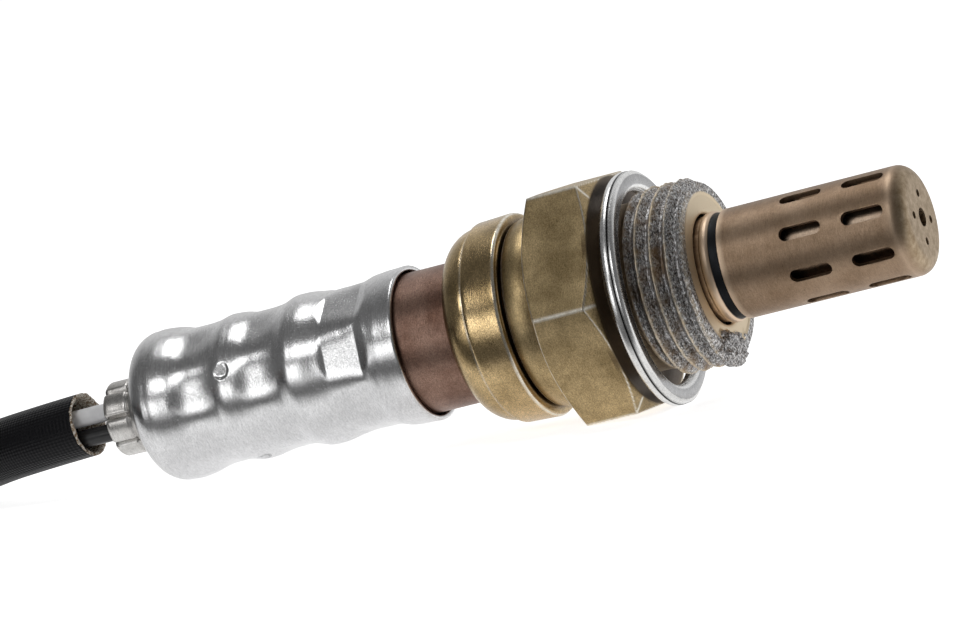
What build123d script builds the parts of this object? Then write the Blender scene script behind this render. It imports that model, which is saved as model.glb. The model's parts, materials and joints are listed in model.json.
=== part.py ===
"""Oxygen sensor: slotted tip, threaded hex shell, crimped cover and a short harness.

The sensor is modelled along +X with the tip forward and the gasket seat at x = 0, then laid down
on the surface that it rests on. The harness is modelled where it lies. Millimetres, +Z up.
"""
import os
from math import atan2, cos, degrees, hypot, pi, radians, sin, tan

from build123d import *

# ---- Fits ---------------------------------------------------------------------------------
SLIP = 0.05               # radial play of a piece that slides into its bore
WIRE_PLAY = 0.05          # radial play of a wire in its hole
GASKET_DROP = 0.3         # a loose gasket hangs this far off the thread's centre

# ---- Hex shell ----------------------------------------------------------------------------
HEX_ACROSS_FLATS = 22.0
HEX_LENGTH = 6.7          # seat face to rear face
HEX_CHAMFER = 25.0        # degrees, on both ends of the hex
THREAD_DIAMETER = 18.0    # M18 x 1.5, at the crests
THREAD_LEAD_IN = 0.8
RELIEF_DIAMETER = 16.0
RELIEF_LENGTH = 2.95
RELIEF_RUN_OUT = 0.75
SHELL_FRONT = 8.4         # seat face to the front face
SHELL_FRONT_WALL = 1.4    # wall that the protection tube's flange seats behind
SHELL_BORE = 13.4
NECK_DIAMETER = 17.5
NECK_SWELL = 0.45         # the neck bulges out this much in its middle
NECK_LENGTH = 3.4
COLLAR_DIAMETER = 19.8
COLLAR_LENGTH = 3.8
COLLAR_CHAMFER = 0.3
COLLAR_BORE = 16.0
LIP_LENGTH = 2.9          # rolled lip that closes on the rear sleeve
LIP_STEP = 0.35

# ---- Gasket -------------------------------------------------------------------------------
GASKET_OUTER = 22.6
GASKET_BORE = 18.7
GASKET_THICK = 1.5
GASKET_SHEET = 0.35
GASKET_SEAM = 0.14
GASKET_SEAM_OFFSET = 0.25 # towards the tip from the ring's middle
GASKET_CORNER = 0.6
GASKET_FROM_SEAT = 1.0
GASKET_TILT = 1.2         # degrees, it sits loose

# ---- Protection tubes ---------------------------------------------------------------------
TIP_LENGTH = 20.6         # from the shell's front face to the end face
TIP_DIAMETER = 10.5
TIP_WALL = 0.5
TIP_SHOULDER = 1.5        # radius between side and end face
TIP_FLANGE = 13.0
FLANGE_THICK = 0.6
BEAD_START = 0.3          # weld bead and the dark groove beside it, from the front face
BEAD_WIDTH = 0.95
BEAD_HEIGHT = 0.1
GROOVE_WIDTH = 0.85
GROOVE_DEPTH = 0.2
SLOT_COUNT = 8
SLOT_LENGTH = 4.15
SLOT_WIDTH = 1.3
SLOT_ROWS = (10.4, 16.6)  # slot centres from the shell's front face
SLOT_CLOCK = 25.0
END_HOLE = 1.8
END_SMALL_HOLE = 0.75
END_SMALL_CIRCLE = 4.56
END_SMALL_COUNT = 4
END_SMALL_CLOCK = 12.0
INNER_TUBE_DIAMETER = 7.9
INNER_TUBE_WALL = 0.4
INNER_TUBE_END_GAP = 1.5  # between the two end faces
INNER_HOLE = 1.2
INNER_HOLE_ROW = 14.0

# ---- Element, insulators and seal ---------------------------------------------------------
ELEMENT_WIDTH = 4.0
ELEMENT_THICK = 1.3
ELEMENT_TIP_GAP = 3.0     # from the inner tube's end
ELEMENT_SLOT_PLAY = 0.05
LOWER_INSULATOR_LENGTH = 5.0
TALC_LENGTH = 5.0
SPRING_THICK = 0.6
SPRING_BORE = 7.0

# ---- Rear sleeve and cover ----------------------------------------------------------------
SLEEVE_DIAMETER = 13.7
SLEEVE_WALL = 0.6
SLEEVE_FLANGE_PLAY = 0.1
SLEEVE_FLANGE_THICK = 0.8
SLEEVE_SHOW = 7.2         # from the lip to where it steps down, under the cover's rim
SLEEVE_STEP_LENGTH = 7.5  # the stepped end that the cover's band grips
COVER_WALL = 0.5
COVER_RIM = 5.4           # from the lip to the cover's open rim
COVER_LENGTH = 29.6
COVER_RIM_DIAMETER = 15.2
COVER_RIM_FALL = 0.12     # the flare closes by this much half way to the band
BAND_DIAMETER = 13.5      # across the flats of the crimped band
BAND_START = 4.1          # from the rim
BAND_LENGTH = 3.7
BULGE_DIAMETERS = (14.9, 14.4, 14.9)
BULGE_CENTRES = (11.6, 18.6, 26.1)   # from the rim
CRIMP_DIAMETER = 13.3     # across the flats of the two crimped valleys
CRIMP_CENTRES = (15.2, 22.0)
CRIMP_ROUND = 4.0         # radius of the crimping jaws
CRIMP_JAWS = 8
CRIMP_CLOCK = 9.2
COVER_END_OPENING = 7.7
DIMPLE = 1.5
DIMPLE_DEPTH = 0.3
DIMPLE_COUNT = 4
DIMPLE_CENTRE = 18.6
DIMPLE_CLOCK = 20.5

# ---- Contact carrier, grommet and ferrule -------------------------------------------------
CARRIER_LENGTH = 11.0
CARRIER_INSET = 1.0       # behind the sleeve's step
CARRIER_PLAY = 0.2        # round the element
GROMMET_PLAY = 0.6        # to the cover's crimped flats
CLIP_WIDTH = 3.0
CLIP_WALL = 0.4
CONTACT_WIDTH = 1.2
CONTACT_THICK = 0.3
FERRULE_LENGTH = 3.9
FERRULE_COLLAR = 0.7      # plain end of the barrel at the cover, before the lobes
FERRULE_STEP = 0.15       # the lobes stand in from the collar by this
FERRULE_CHAMFER = 0.3
FERRULE_DIAMETER = 7.5
FERRULE_LOBES = 8
FERRULE_FLUTE = 0.45      # radius of the flutes between the lobes
FERRULE_BORE = 5.4
FERRULE_FLANGE = 8.8
FERRULE_FLANGE_THICK = 0.7

# ---- Wires and harness --------------------------------------------------------------------
WIRE_DIAMETER = 1.75
WIRE_CIRCLE = 2.9
WIRE_STOP = 0.5           # from the carrier's rear face into it
WIRE_CLOCK = 48.0
MOUTH_GAP = 3.6           # bare wires between the ferrule and the braided sleeve
HARNESS_DIAMETER = 6.4
HARNESS_WALL = 0.5
HARNESS_HOLLOW = 5.0      # the wires show this far into the sleeve
WIRE_INSERT = 4.0
CORD_CLEAR = 0.05         # the cord's solids stand this far off the floor and off each other
COIL_RADIUS = 36.0        # middle of the turn
COIL_HEAD = 22.0          # straight stub that runs into the coil
COIL_RISE = 40.0          # degrees of the turn that climb on to its own start
COIL_TOP = (-98.0, 7.5)   # where the turn starts, heading towards -X
MOUTH_LIFT = 0.3          # the sleeve's mouth sits this far above the wires' axis
LEAD_ROUTE = [(-54.5, 0.8, 5.75), (-61.5, 4.0, 4.3), (-68.5, 7.5, 3.25)]
TAIL_ROUTE = [(-105.5, 7.5, 9.7), (-114.8, -2.0, 9.7), (-114.0, -15.6, 7.5)]
CONNECTOR_AT = (-107.6, -21.2, 7.5)  # inside the turn, on the floor
BEND_SHARE = 0.45         # of a run between two bends that each bend takes
END_SHARE = 0.85          # of the first and last run
BOOT_GAP = 0.1            # between the cord's end and the boot

# ---- Connector ----------------------------------------------------------------------------
HOUSING_LENGTH = 20.0
HOUSING_WIDTH = 23.0
HOUSING_HEIGHT = 15.0
HOUSING_CORNER = 2.5
NOSE_LENGTH = 13.0
NOSE_WIDTH = 18.6
NOSE_HEIGHT = 10.6
NOSE_CORNER = 2.0
NOSE_SEAL_LENGTH = 4.0
NOSE_SEAL_PROUD = 0.5
RIB_COUNT = 3
RIB_WIDTH = 1.4
RIB_HEIGHT = 0.7
RIB_LENGTH = 12.0
BOOT_LENGTH = 9.0
BOOT_DIAMETER = 11.0
BOOT_END_DIAMETER = 8.4
BOOT_SEAT = 2.0           # how far the boot goes into the housing
BOOT_RIBS = 3
BOOT_RIB_HEIGHT = 0.5
LOCK_WIDTH = 8.0
LOCK_LENGTH = 15.0
LOCK_THICK = 1.6
LOCK_GAP = 1.2
LOCK_PLAY = 0.5           # all round in its recess
LOCK_FOOT = 3.0
LOCK_CATCH = 1.6
LOCK_CATCH_HEIGHT = 1.2
TERMINAL_COUNT = 4
TERMINAL_PITCH = 4.2
TERMINAL_HOLE = 2.4
TERMINAL_DEPTH = 9.0
TERMINAL_WALL = 0.3
TERMINAL_INSET = 1.0      # behind the nose's face

# ---- Places along the axis that follow from the sizes above --------------------------------
HEX_REAR = -HEX_LENGTH
NECK_REAR = HEX_REAR - NECK_LENGTH
COLLAR_REAR = NECK_REAR - COLLAR_LENGTH
LIP_REAR = COLLAR_REAR - LIP_LENGTH
FLANGE_SEAT = SHELL_FRONT - SHELL_FRONT_WALL
TIP_END = SHELL_FRONT + TIP_LENGTH
INNER_END = TIP_END - INNER_TUBE_END_GAP
LOWER_FRONT = FLANGE_SEAT - 2 * FLANGE_THICK
LOWER_REAR = LOWER_FRONT - LOWER_INSULATOR_LENGTH
TALC_REAR = LOWER_REAR - TALC_LENGTH
BORE_REAR = COLLAR_REAR + 2 * SLEEVE_FLANGE_THICK
SPRING_REAR = BORE_REAR
UPPER_REAR = SPRING_REAR + SPRING_THICK
COVER_FRONT = LIP_REAR - COVER_RIM
COVER_REAR = COVER_FRONT - COVER_LENGTH
SLEEVE_STEP = LIP_REAR - SLEEVE_SHOW
SLEEVE_STEP_DIAMETER = BAND_DIAMETER - 2 * COVER_WALL
SLEEVE_REAR = SLEEVE_STEP - SLEEVE_STEP_LENGTH
FERRULE_FRONT = COVER_REAR + COVER_WALL + 2 * SLIP + FERRULE_FLANGE_THICK
FERRULE_REAR = COVER_REAR - FERRULE_LENGTH
CARRIER_FRONT = SLEEVE_STEP - CARRIER_INSET
CARRIER_REAR = CARRIER_FRONT - CARRIER_LENGTH
CARRIER_DIAMETER = SLEEVE_STEP_DIAMETER - 2 * (SLEEVE_WALL + CLIP_WALL + 2 * SLIP)
GROMMET_FRONT = CARRIER_REAR - SLIP
FLANGE_REAR = COVER_REAR + COVER_WALL + 2 * SLIP
MOUTH = FERRULE_REAR - MOUTH_GAP
AXIS_X = Axis((0, 0, 0), (1, 0, 0))


def turned(*corners):
    """Solid of revolution about the sensor's axis from (x, radius) corners."""
    outline = make_face(Polyline(*[(x, r) for x, r in corners], close=True))
    return revolve(outline, AXIS_X)


def rod(start, end, diameter):
    """Round bar on the sensor's axis."""
    return turned((start, 0), (end, 0), (end, diameter / 2), (start, diameter / 2))


def tube(start, end, outer, inner):
    """Round tube on the sensor's axis."""
    return turned((start, inner / 2), (end, inner / 2), (end, outer / 2), (start, outer / 2))


def around(piece, count, clock=0.0):
    """Copies of a piece turned about the sensor's axis; clock turns from the -Y side towards +Z."""
    return [piece.rotate(Axis.X, -clock - 360 * k / count) for k in range(count)]


def cut_all(body, cutters):
    """The body with each cutter taken away."""
    for cutter in cutters:
        body = body - cutter
    return body


# ---- Shell and gasket ---------------------------------------------------------------------
def hex_shell():
    corner = HEX_ACROSS_FLATS / 2 / cos(pi / 6)
    flat = HEX_ACROSS_FLATS / 2
    drop = (corner - flat) * tan(radians(HEX_CHAMFER))
    prism = extrude(Plane.YZ * RegularPolygon(corner, 6, rotation=0), HEX_LENGTH)
    prism = prism.moved(Location((HEX_REAR, 0, 0)))
    chamfers = turned(
        (HEX_REAR, 0), (0, 0), (0, flat), (-drop, corner), (HEX_REAR + drop, corner), (HEX_REAR, flat)
    )
    relief = RELIEF_DIAMETER / 2
    crest = THREAD_DIAMETER / 2
    run_out = RELIEF_LENGTH - RELIEF_RUN_OUT
    front = rod(0, RELIEF_LENGTH, RELIEF_DIAMETER) + turned(
        (run_out, 0), (SHELL_FRONT, 0), (SHELL_FRONT, crest - THREAD_LEAD_IN),
        (SHELL_FRONT - THREAD_LEAD_IN / 2, crest), (RELIEF_LENGTH, crest), (run_out, relief)
    )
    shell = (prism & chamfers) + front + rear_of_shell()
    bore = rod(BORE_REAR, FLANGE_SEAT, SHELL_BORE)
    mouth = rod(FLANGE_SEAT, SHELL_FRONT, TIP_DIAMETER + 2 * SLIP)
    pocket = rod(COLLAR_REAR, BORE_REAR, COLLAR_BORE)
    rear_hole = rod(LIP_REAR, COLLAR_REAR, SLEEVE_DIAMETER + 2 * SLIP)
    return cut_all(shell, [bore, mouth, pocket, rear_hole])


def rear_of_shell():
    """Neck, collar and the lip that is rolled down on to the rear sleeve."""
    neck = NECK_DIAMETER / 2
    collar = COLLAR_DIAMETER / 2
    sleeve = SLEEVE_DIAMETER / 2
    outline = [
        Line((HEX_REAR, 0), (HEX_REAR, neck)),
        ThreePointArc(
            (HEX_REAR, neck), ((HEX_REAR + NECK_REAR) / 2, neck + NECK_SWELL), (NECK_REAR, neck)
        ),
        Polyline(
            (NECK_REAR, neck), (NECK_REAR, collar - COLLAR_CHAMFER), (NECK_REAR - COLLAR_CHAMFER, collar),
            (COLLAR_REAR + COLLAR_CHAMFER, collar), (COLLAR_REAR, collar - COLLAR_CHAMFER),
            (COLLAR_REAR, collar - LIP_STEP),
        ),
        EllipticalCenterArc(
            (COLLAR_REAR, sleeve), LIP_LENGTH, collar - LIP_STEP - sleeve, start_angle=90, arc_size=90
        ),
        Polyline((LIP_REAR, sleeve), (LIP_REAR, 0), (HEX_REAR, 0)),
    ]
    return revolve(make_face(outline), AXIS_X)


def crush_gasket():
    """Ring folded from sheet: a hollow section with its seam on the rim."""
    outer = GASKET_OUTER / 2
    inner = GASKET_BORE / 2
    middle = (outer + inner) / 2
    width = outer - inner
    sheet = 2 * GASKET_SHEET
    section = Pos(0, middle) * RectangleRounded(GASKET_THICK, width, GASKET_CORNER)
    hollow = Pos(0, middle) * RectangleRounded(
        GASKET_THICK - sheet, width - sheet, GASKET_CORNER - GASKET_SHEET
    )
    seam = Pos(GASKET_SEAM_OFFSET, outer - GASKET_SHEET) * Rectangle(GASKET_SEAM, 2 * sheet)
    ring = revolve(section - hollow - seam, AXIS_X).rotate(Axis.Z, GASKET_TILT)
    middle_x = GASKET_FROM_SEAT + GASKET_THICK / 2
    return ring.moved(Location((middle_x, 0, -GASKET_DROP)))


# ---- Protection tubes ---------------------------------------------------------------------
def slots():
    """Cutters for the long slots, two rows in line with each other."""
    reach = TIP_DIAMETER
    blank = extrude(Plane.XZ * SlotOverall(SLOT_LENGTH, SLOT_WIDTH), reach)
    cutters = []
    for row in SLOT_ROWS:
        cutters += around(blank.moved(Location((SHELL_FRONT + row, 0, 0))), SLOT_COUNT, SLOT_CLOCK)
    return cutters


def outer_protection_tube():
    """Slotted tube, flanged at the back, with its weld bead and the groove beside it."""
    radius = TIP_DIAMETER / 2
    back = FLANGE_SEAT - FLANGE_THICK
    bead = SHELL_FRONT + BEAD_START
    groove = bead + BEAD_WIDTH
    start = groove + GROOVE_WIDTH
    low = radius - GROOVE_DEPTH
    body = turned(
        (back, 0), (back, TIP_FLANGE / 2), (FLANGE_SEAT, TIP_FLANGE / 2), (FLANGE_SEAT, low),
        (bead, low), (bead + BEAD_HEIGHT, radius + BEAD_HEIGHT / 2),
        (groove - BEAD_HEIGHT, radius + BEAD_HEIGHT / 2), (groove, low), (start, low), (start, radius),
        (TIP_END, radius), (TIP_END, 0),
    )
    rim = body.edges().filter_by(GeomType.CIRCLE).sort_by(Axis.X)[-1]
    body = fillet(rim, TIP_SHOULDER)
    hollow = rod(back, TIP_END - TIP_WALL, 2 * (low - TIP_WALL / 2))
    body = body - hollow
    end_hole = rod(INNER_END, TIP_END + TIP_WALL, END_HOLE)
    small = rod(TIP_END - 2 * TIP_WALL, TIP_END + TIP_WALL, END_SMALL_HOLE)
    small = small.moved(Location((0, -END_SMALL_CIRCLE / 2, 0)))
    return cut_all(body, slots() + [end_hole] + around(small, END_SMALL_COUNT, END_SMALL_CLOCK))


def inner_protection_tube():
    start = FLANGE_SEAT - 2 * FLANGE_THICK
    body = rod(start, INNER_END, INNER_TUBE_DIAMETER) + rod(start, start + FLANGE_THICK, TIP_FLANGE)
    rim = body.edges().filter_by(GeomType.CIRCLE).sort_by(Axis.X)[-1]
    body = fillet(rim, 3 * INNER_TUBE_WALL)
    body = body - rod(start, INNER_END - INNER_TUBE_WALL, INNER_TUBE_DIAMETER - 2 * INNER_TUBE_WALL)
    hole = extrude(Plane.XZ * Circle(INNER_HOLE / 2), INNER_TUBE_DIAMETER)
    hole = hole.moved(Location((SHELL_FRONT + INNER_HOLE_ROW, 0, 0)))
    return cut_all(body, around(hole, SLOT_COUNT, SLOT_CLOCK))


# ---- Element and its packing --------------------------------------------------------------
def element_bar(start, end, play=0.0):
    bar = Box(end - start, ELEMENT_THICK + 2 * play, ELEMENT_WIDTH + 2 * play)
    return bar.moved(Location(((start + end) / 2, 0, 0)))


def sensing_element():
    end = INNER_END - ELEMENT_TIP_GAP
    return element_bar(CARRIER_REAR + CARRIER_LENGTH / 3, end)


def packing(start, end, play):
    """Round packing piece with the slot that the element passes through."""
    slot = element_bar(start, end, ELEMENT_SLOT_PLAY)
    return rod(start, end, SHELL_BORE - 2 * play) - slot


def disc_spring():
    return tube(SPRING_REAR, UPPER_REAR, SHELL_BORE - 2 * SLIP, SPRING_BORE)


# ---- Rear sleeve, cover, ferrule ----------------------------------------------------------
def rear_sleeve():
    """Tube flanged inside the collar and stepped down where the cover grips it."""
    outer = SLEEVE_DIAMETER
    step = SLEEVE_STEP_DIAMETER
    wall = 2 * SLEEVE_WALL
    flange_diameter = COLLAR_BORE - 2 * SLEEVE_FLANGE_PLAY
    flange = tube(BORE_REAR - SLEEVE_FLANGE_THICK, BORE_REAR, flange_diameter, outer - wall)
    wide = tube(SLEEVE_STEP, BORE_REAR, outer, outer - wall)
    narrow = tube(SLEEVE_REAR, SLEEVE_STEP, step, step - wall)
    joggle = tube(SLEEVE_STEP - SLEEVE_WALL, SLEEVE_STEP, step, step - wall)
    shoulder = tube(SLEEVE_STEP, SLEEVE_STEP + SLEEVE_WALL, outer, step - wall)
    return flange + wide + narrow + joggle + shoulder


def cover_outline(inset, flats):
    """Half section of the cover: flared rim, band, three bulges and the domed rear end.

    flats is 1 for the radius across the crimped flats, or more for the corners between them.
    """
    rim = COVER_RIM_DIAMETER / 2 - inset
    band = BAND_DIAMETER / 2 * flats - inset
    valley = CRIMP_DIAMETER / 2 * flats - inset
    front = COVER_FRONT
    bulges = [(front - x, d / 2 - inset) for x, d in zip(BULGE_CENTRES, BULGE_DIAMETERS)]
    valleys = [(front - x, valley) for x in CRIMP_CENTRES]
    band_front = front - BAND_START
    band_rear = band_front - BAND_LENGTH
    rear = COVER_REAR + inset
    crown = bulges[2]
    side = Spline(
        (band_rear, band), bulges[0], valleys[0], bulges[1], valleys[1], crown,
        tangents=[(-1, 0.35), (-1, 0)],
    )
    dome = EllipticalCenterArc(
        (crown[0], COVER_END_OPENING / 2), crown[0] - rear, crown[1] - COVER_END_OPENING / 2,
        start_angle=90, arc_size=90,
    )
    flare = Spline(
        (front, rim), (front - BAND_START / 2, rim - COVER_RIM_FALL), (band_front, band),
        tangents=[(-1, 0), (-1, -0.2)],
    )
    return make_face(
        [
            Polyline((rear, COVER_END_OPENING / 2), (rear, 0), (front, 0), (front, rim)),
            flare,
            Line((band_front, band), (band_rear, band)),
            side,
            dome,
        ]
    )


def crimp_cutters():
    """Straight-faced jaws: eight round bars in each valley, eight flats on the band."""
    long = CRIMP_DIAMETER
    bar = Cylinder(CRIMP_ROUND, long)
    cutters = []
    for centre in CRIMP_CENTRES:
        jaw = bar.moved(Location((COVER_FRONT - centre, -CRIMP_DIAMETER / 2 - CRIMP_ROUND, 0)))
        cutters += around(jaw, CRIMP_JAWS, CRIMP_CLOCK)
    depth = COVER_WALL
    flat = Box(BAND_LENGTH, depth, long)
    band_middle = COVER_FRONT - BAND_START - BAND_LENGTH / 2
    flat = flat.moved(Location((band_middle, -BAND_DIAMETER / 2 - depth / 2, 0)))
    return cutters + around(flat, CRIMP_JAWS, CRIMP_CLOCK)


def outer_cover():
    """Thin shell with its crimps and dimples pressed in and its domed end pierced for the ferrule."""
    body = revolve(cover_outline(0, 1 / cos(pi / CRIMP_JAWS)), AXIS_X)
    dent = extrude(Plane.XZ * Circle(DIMPLE / 2), DIMPLE_DEPTH * 4)
    dimple = dent.moved(Location((COVER_FRONT - DIMPLE_CENTRE, -BULGE_DIAMETERS[1] / 2 + DIMPLE_DEPTH, 0)))
    body = cut_all(body, crimp_cutters() + around(dimple, DIMPLE_COUNT, DIMPLE_CLOCK))
    hollow = revolve(cover_outline(COVER_WALL, 1), AXIS_X)
    opening = rod(COVER_REAR, COVER_REAR + 2 * COVER_WALL, COVER_END_OPENING)
    return body - hollow - opening


def crimp_ferrule():
    """Flanged barrel crimped into lobes round the grommet's tail."""
    radius = FERRULE_DIAMETER / 2
    lobe = radius - FERRULE_STEP
    collar = COVER_REAR - FERRULE_COLLAR
    body = rod(FLANGE_REAR, FERRULE_FRONT, FERRULE_FLANGE) + turned(
        (FERRULE_REAR, 0), (FERRULE_FRONT, 0), (FERRULE_FRONT, radius),
        (collar + FERRULE_CHAMFER, radius), (collar, lobe), (FERRULE_REAR + FERRULE_CHAMFER, lobe),
        (FERRULE_REAR, lobe - FERRULE_CHAMFER),
    )
    flute = rod(FERRULE_REAR, collar, 2 * FERRULE_FLUTE).moved(Location((0, -lobe, 0)))
    bore = rod(FERRULE_REAR, FERRULE_FRONT, FERRULE_BORE)
    return cut_all(body, [bore] + around(flute, FERRULE_LOBES, 360 / FERRULE_LOBES / 2))


# ---- Rear contacts, grommet and wires -----------------------------------------------------
def wire_places(circle=WIRE_CIRCLE):
    """(y, z) of the four wires."""
    angles = [radians(WIRE_CLOCK + 90 * k) for k in range(4)]
    return [(-circle / 2 * cos(a), circle / 2 * sin(a)) for a in angles]


def contact_places():
    """(y, z, side) of the four contact springs on the element's two faces."""
    gap = ELEMENT_THICK / 2 + CONTACT_THICK / 2 + SLIP
    return [(side * gap, row * ELEMENT_WIDTH / 4) for side in (-1, 1) for row in (-1, 1)]


def contact_carrier():
    """Ceramic block that presses the contact springs on to the element and takes the wires."""
    body = rod(CARRIER_REAR, CARRIER_FRONT, CARRIER_DIAMETER)
    room = element_bar(CARRIER_REAR, CARRIER_FRONT, CARRIER_PLAY)
    cuts = [room]
    for y, z in contact_places():
        groove = Box(CARRIER_LENGTH, CONTACT_THICK + 4 * SLIP, CONTACT_WIDTH + 2 * SLIP)
        cuts.append(groove.moved(Location(((CARRIER_REAR + CARRIER_FRONT) / 2, y, z))))
    for y, z in wire_places():
        barrel = rod(CARRIER_REAR, CARRIER_REAR + CARRIER_LENGTH / 3, WIRE_DIAMETER + 2 * WIRE_PLAY)
        cuts.append(barrel.moved(Location((0, y, z))))
    return cut_all(body, cuts)


def contact_spring(place):
    y, z = place
    start = CARRIER_REAR + CARRIER_LENGTH / 3
    strip = Box(CARRIER_FRONT - start, CONTACT_THICK, CONTACT_WIDTH)
    return strip.moved(Location(((CARRIER_FRONT + start) / 2, y, z)))


def carrier_clip():
    start = (CARRIER_REAR + CARRIER_FRONT) / 2 - CLIP_WIDTH / 2
    ring = tube(
        start, start + CLIP_WIDTH, CARRIER_DIAMETER + 2 * SLIP + 2 * CLIP_WALL, CARRIER_DIAMETER + 2 * SLIP
    )
    gap = Box(CLIP_WIDTH, CARRIER_DIAMETER, CLIP_WIDTH / 2)
    return ring - gap.moved(Location((start + CLIP_WIDTH / 2, CARRIER_DIAMETER / 2, 0)))


def grommet():
    """Rubber plug behind the carrier, with a tail that fills the ferrule."""
    big = CRIMP_DIAMETER - 2 * COVER_WALL - 2 * GROMMET_PLAY
    body = rod(FERRULE_FRONT, GROMMET_FRONT, big) + rod(FERRULE_REAR, GROMMET_FRONT, FERRULE_BORE)
    holes = []
    for y, z in wire_places():
        hole = rod(FERRULE_REAR, GROMMET_FRONT, WIRE_DIAMETER + 2 * WIRE_PLAY)
        holes.append(hole.moved(Location((0, y, z))))
    return cut_all(body, holes)


def wire(place):
    y, z = place
    start = CARRIER_REAR + WIRE_STOP
    end = MOUTH - WIRE_INSERT
    return rod(end, start, WIRE_DIAMETER).moved(Location((0, y, z)))


SENSOR = {
    "hex_shell": hex_shell(),
    "crush_gasket": crush_gasket(),
    "outer_protection_tube": outer_protection_tube(),
    "inner_protection_tube": inner_protection_tube(),
    "sensing_element": sensing_element(),
    "lower_insulator": packing(LOWER_REAR, LOWER_FRONT, SLIP),
    "talc_seal": packing(TALC_REAR, LOWER_REAR, 0),
    "upper_insulator": packing(UPPER_REAR, TALC_REAR, SLIP),
    "disc_spring": disc_spring(),
    "rear_sleeve": rear_sleeve(),
    "outer_cover": outer_cover(),
    "crimp_ferrule": crimp_ferrule(),
    "contact_carrier": contact_carrier(),
    "carrier_clip": carrier_clip(),
    "grommet": grommet(),
}
for number, place in enumerate(contact_places(), 1):
    SENSOR[f"contact_spring_{number}"] = contact_spring(place)
for name, place in zip(("heater_wire_1", "heater_wire_2", "ground_wire", "signal_wire"), wire_places()):
    SENSOR[name] = wire(place)


# ---- The sensor laid on the floor -----------------------------------------------------------
def rest_tilt():
    """Tilt, in degrees, at which the hex flat's rear edge and the cover's domed end both touch."""
    crown_x = COVER_FRONT - BULGE_CENTRES[2]
    centre_r = COVER_END_OPENING / 2
    long = crown_x - COVER_REAR
    short = BULGE_DIAMETERS[2] / 2 - centre_r

    def gap(t):
        hex_low = HEX_REAR * sin(t) - HEX_ACROSS_FLATS / 2 * cos(t)
        dome_low = crown_x * sin(t) - centre_r * cos(t) - hypot(long * sin(t), short * cos(t))
        return dome_low - hex_low

    low, high = 0.0, radians(30)
    for _ in range(40):
        middle = (low + high) / 2
        if gap(middle) > 0:
            low = middle
        else:
            high = middle
    return degrees(low)


TILT = rest_tilt()
LIFT = HEX_ACROSS_FLATS / 2 * cos(radians(TILT)) - HEX_REAR * sin(radians(TILT))
TILTED = Location((0, 0, LIFT), (0, -TILT, 0))
WIRES = ("heater_wire_1", "heater_wire_2", "ground_wire", "signal_wire")
box = Compound([SENSOR[name].moved(TILTED) for name in SENSOR if name not in WIRES]).bounding_box()
LAID = Location((-box.center().X, -box.center().Y, 0)) * TILTED
print(f"tilt {TILT:.3f} deg, lift {LIFT:.3f}, shift {-box.center().X:.3f} {-box.center().Y:.3f}")


# ---- Harness ------------------------------------------------------------------------------
def cord_tube(points):
    """Round tube along straight runs joined by tangent arcs as large as the runs allow."""
    points = [Vector(*p) for p in points]
    runs = [after - before for before, after in zip(points, points[1:])]
    rooms = [BEND_SHARE * run.length for run in runs]
    rooms[0] = END_SHARE * runs[0].length
    rooms[-1] = END_SHARE * runs[-1].length
    radii = []
    for k, (before, after) in enumerate(zip(runs, runs[1:])):
        turn = radians(before.get_angle(after))
        radii.append(min(rooms[k], rooms[k + 1]) / tan(turn / 2))
    path = FilletPolyline(*points, radius=radii)
    section = Plane(origin=path @ 0, z_dir=path % 0) * Circle(HARNESS_DIAMETER / 2)
    solid = sweep(section, path=path)
    area = pi * HARNESS_DIAMETER**2 / 4
    print("radii", [round(r, 1) for r in radii], "length", round(path.length, 2), "volume ratio",
          round(solid.volume / area / path.length, 4))
    return solid


FLOOR_CORD = HARNESS_DIAMETER / 2 + CORD_CLEAR
mouth = (LAID * Location((MOUTH, 0, MOUTH_LIFT))).position
coil_in = (COIL_TOP[0] + COIL_HEAD, COIL_TOP[1], FLOOR_CORD)
coil_out = (COIL_TOP[0], COIL_TOP[1], 3 * HARNESS_DIAMETER / 2 + 2 * CORD_CLEAR)


def harness_sleeve():
    """Braided sleeve from its open mouth to the coil, hollow where the wires enter."""
    body = cord_tube([tuple(mouth), *LEAD_ROUTE, coil_in])
    inward = Vector(*LEAD_ROUTE[0]) - mouth
    bore = extrude(
        Plane(origin=mouth, z_dir=inward) * Circle(HARNESS_DIAMETER / 2 - HARNESS_WALL), HARNESS_HOLLOW
    )
    return body - bore


def harness_coil():
    """One turn on the floor that climbs on to its own start, as a plain ring."""
    d = HARNESS_DIAMETER
    centre = Location((COIL_TOP[0], COIL_TOP[1] - COIL_RADIUS, 0))
    flat = Plane.XZ * Pos(COIL_RADIUS, FLOOR_CORD) * RectangleRounded(d, d, 0.45 * d)
    high = coil_out[2] + d / 2 - CORD_CLEAR
    tall = Plane.XZ * Pos(COIL_RADIUS, CORD_CLEAR + high / 2) * RectangleRounded(d, high, 0.45 * d)
    ring = revolve(flat, Axis.Z)
    climb = revolve(tall, Axis.Z, revolution_arc=COIL_RISE).rotate(Axis.Z, 90 - COIL_RISE)
    stub = Location(coil_in, (0, -90, 0)) * Pos(0, 0, COIL_HEAD / 2) * Cylinder(d / 2, COIL_HEAD)
    return (ring + climb).moved(centre) + stub


def harness_tail():
    """Last stretch, from the top of the coil to the connector's boot."""
    return cord_tube([coil_out, *TAIL_ROUTE, CONNECTOR_AT])


# ---- Connector, modelled with its boot's end at the origin and its nose towards +X -----------
def terminal_places():
    first = -(TERMINAL_COUNT - 1) / 2 * TERMINAL_PITCH
    return [first + k * TERMINAL_PITCH for k in range(TERMINAL_COUNT)]


HOUSING_START = BOOT_LENGTH - BOOT_SEAT
NOSE_START = HOUSING_START + HOUSING_LENGTH
NOSE_END = NOSE_START + NOSE_LENGTH


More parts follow.
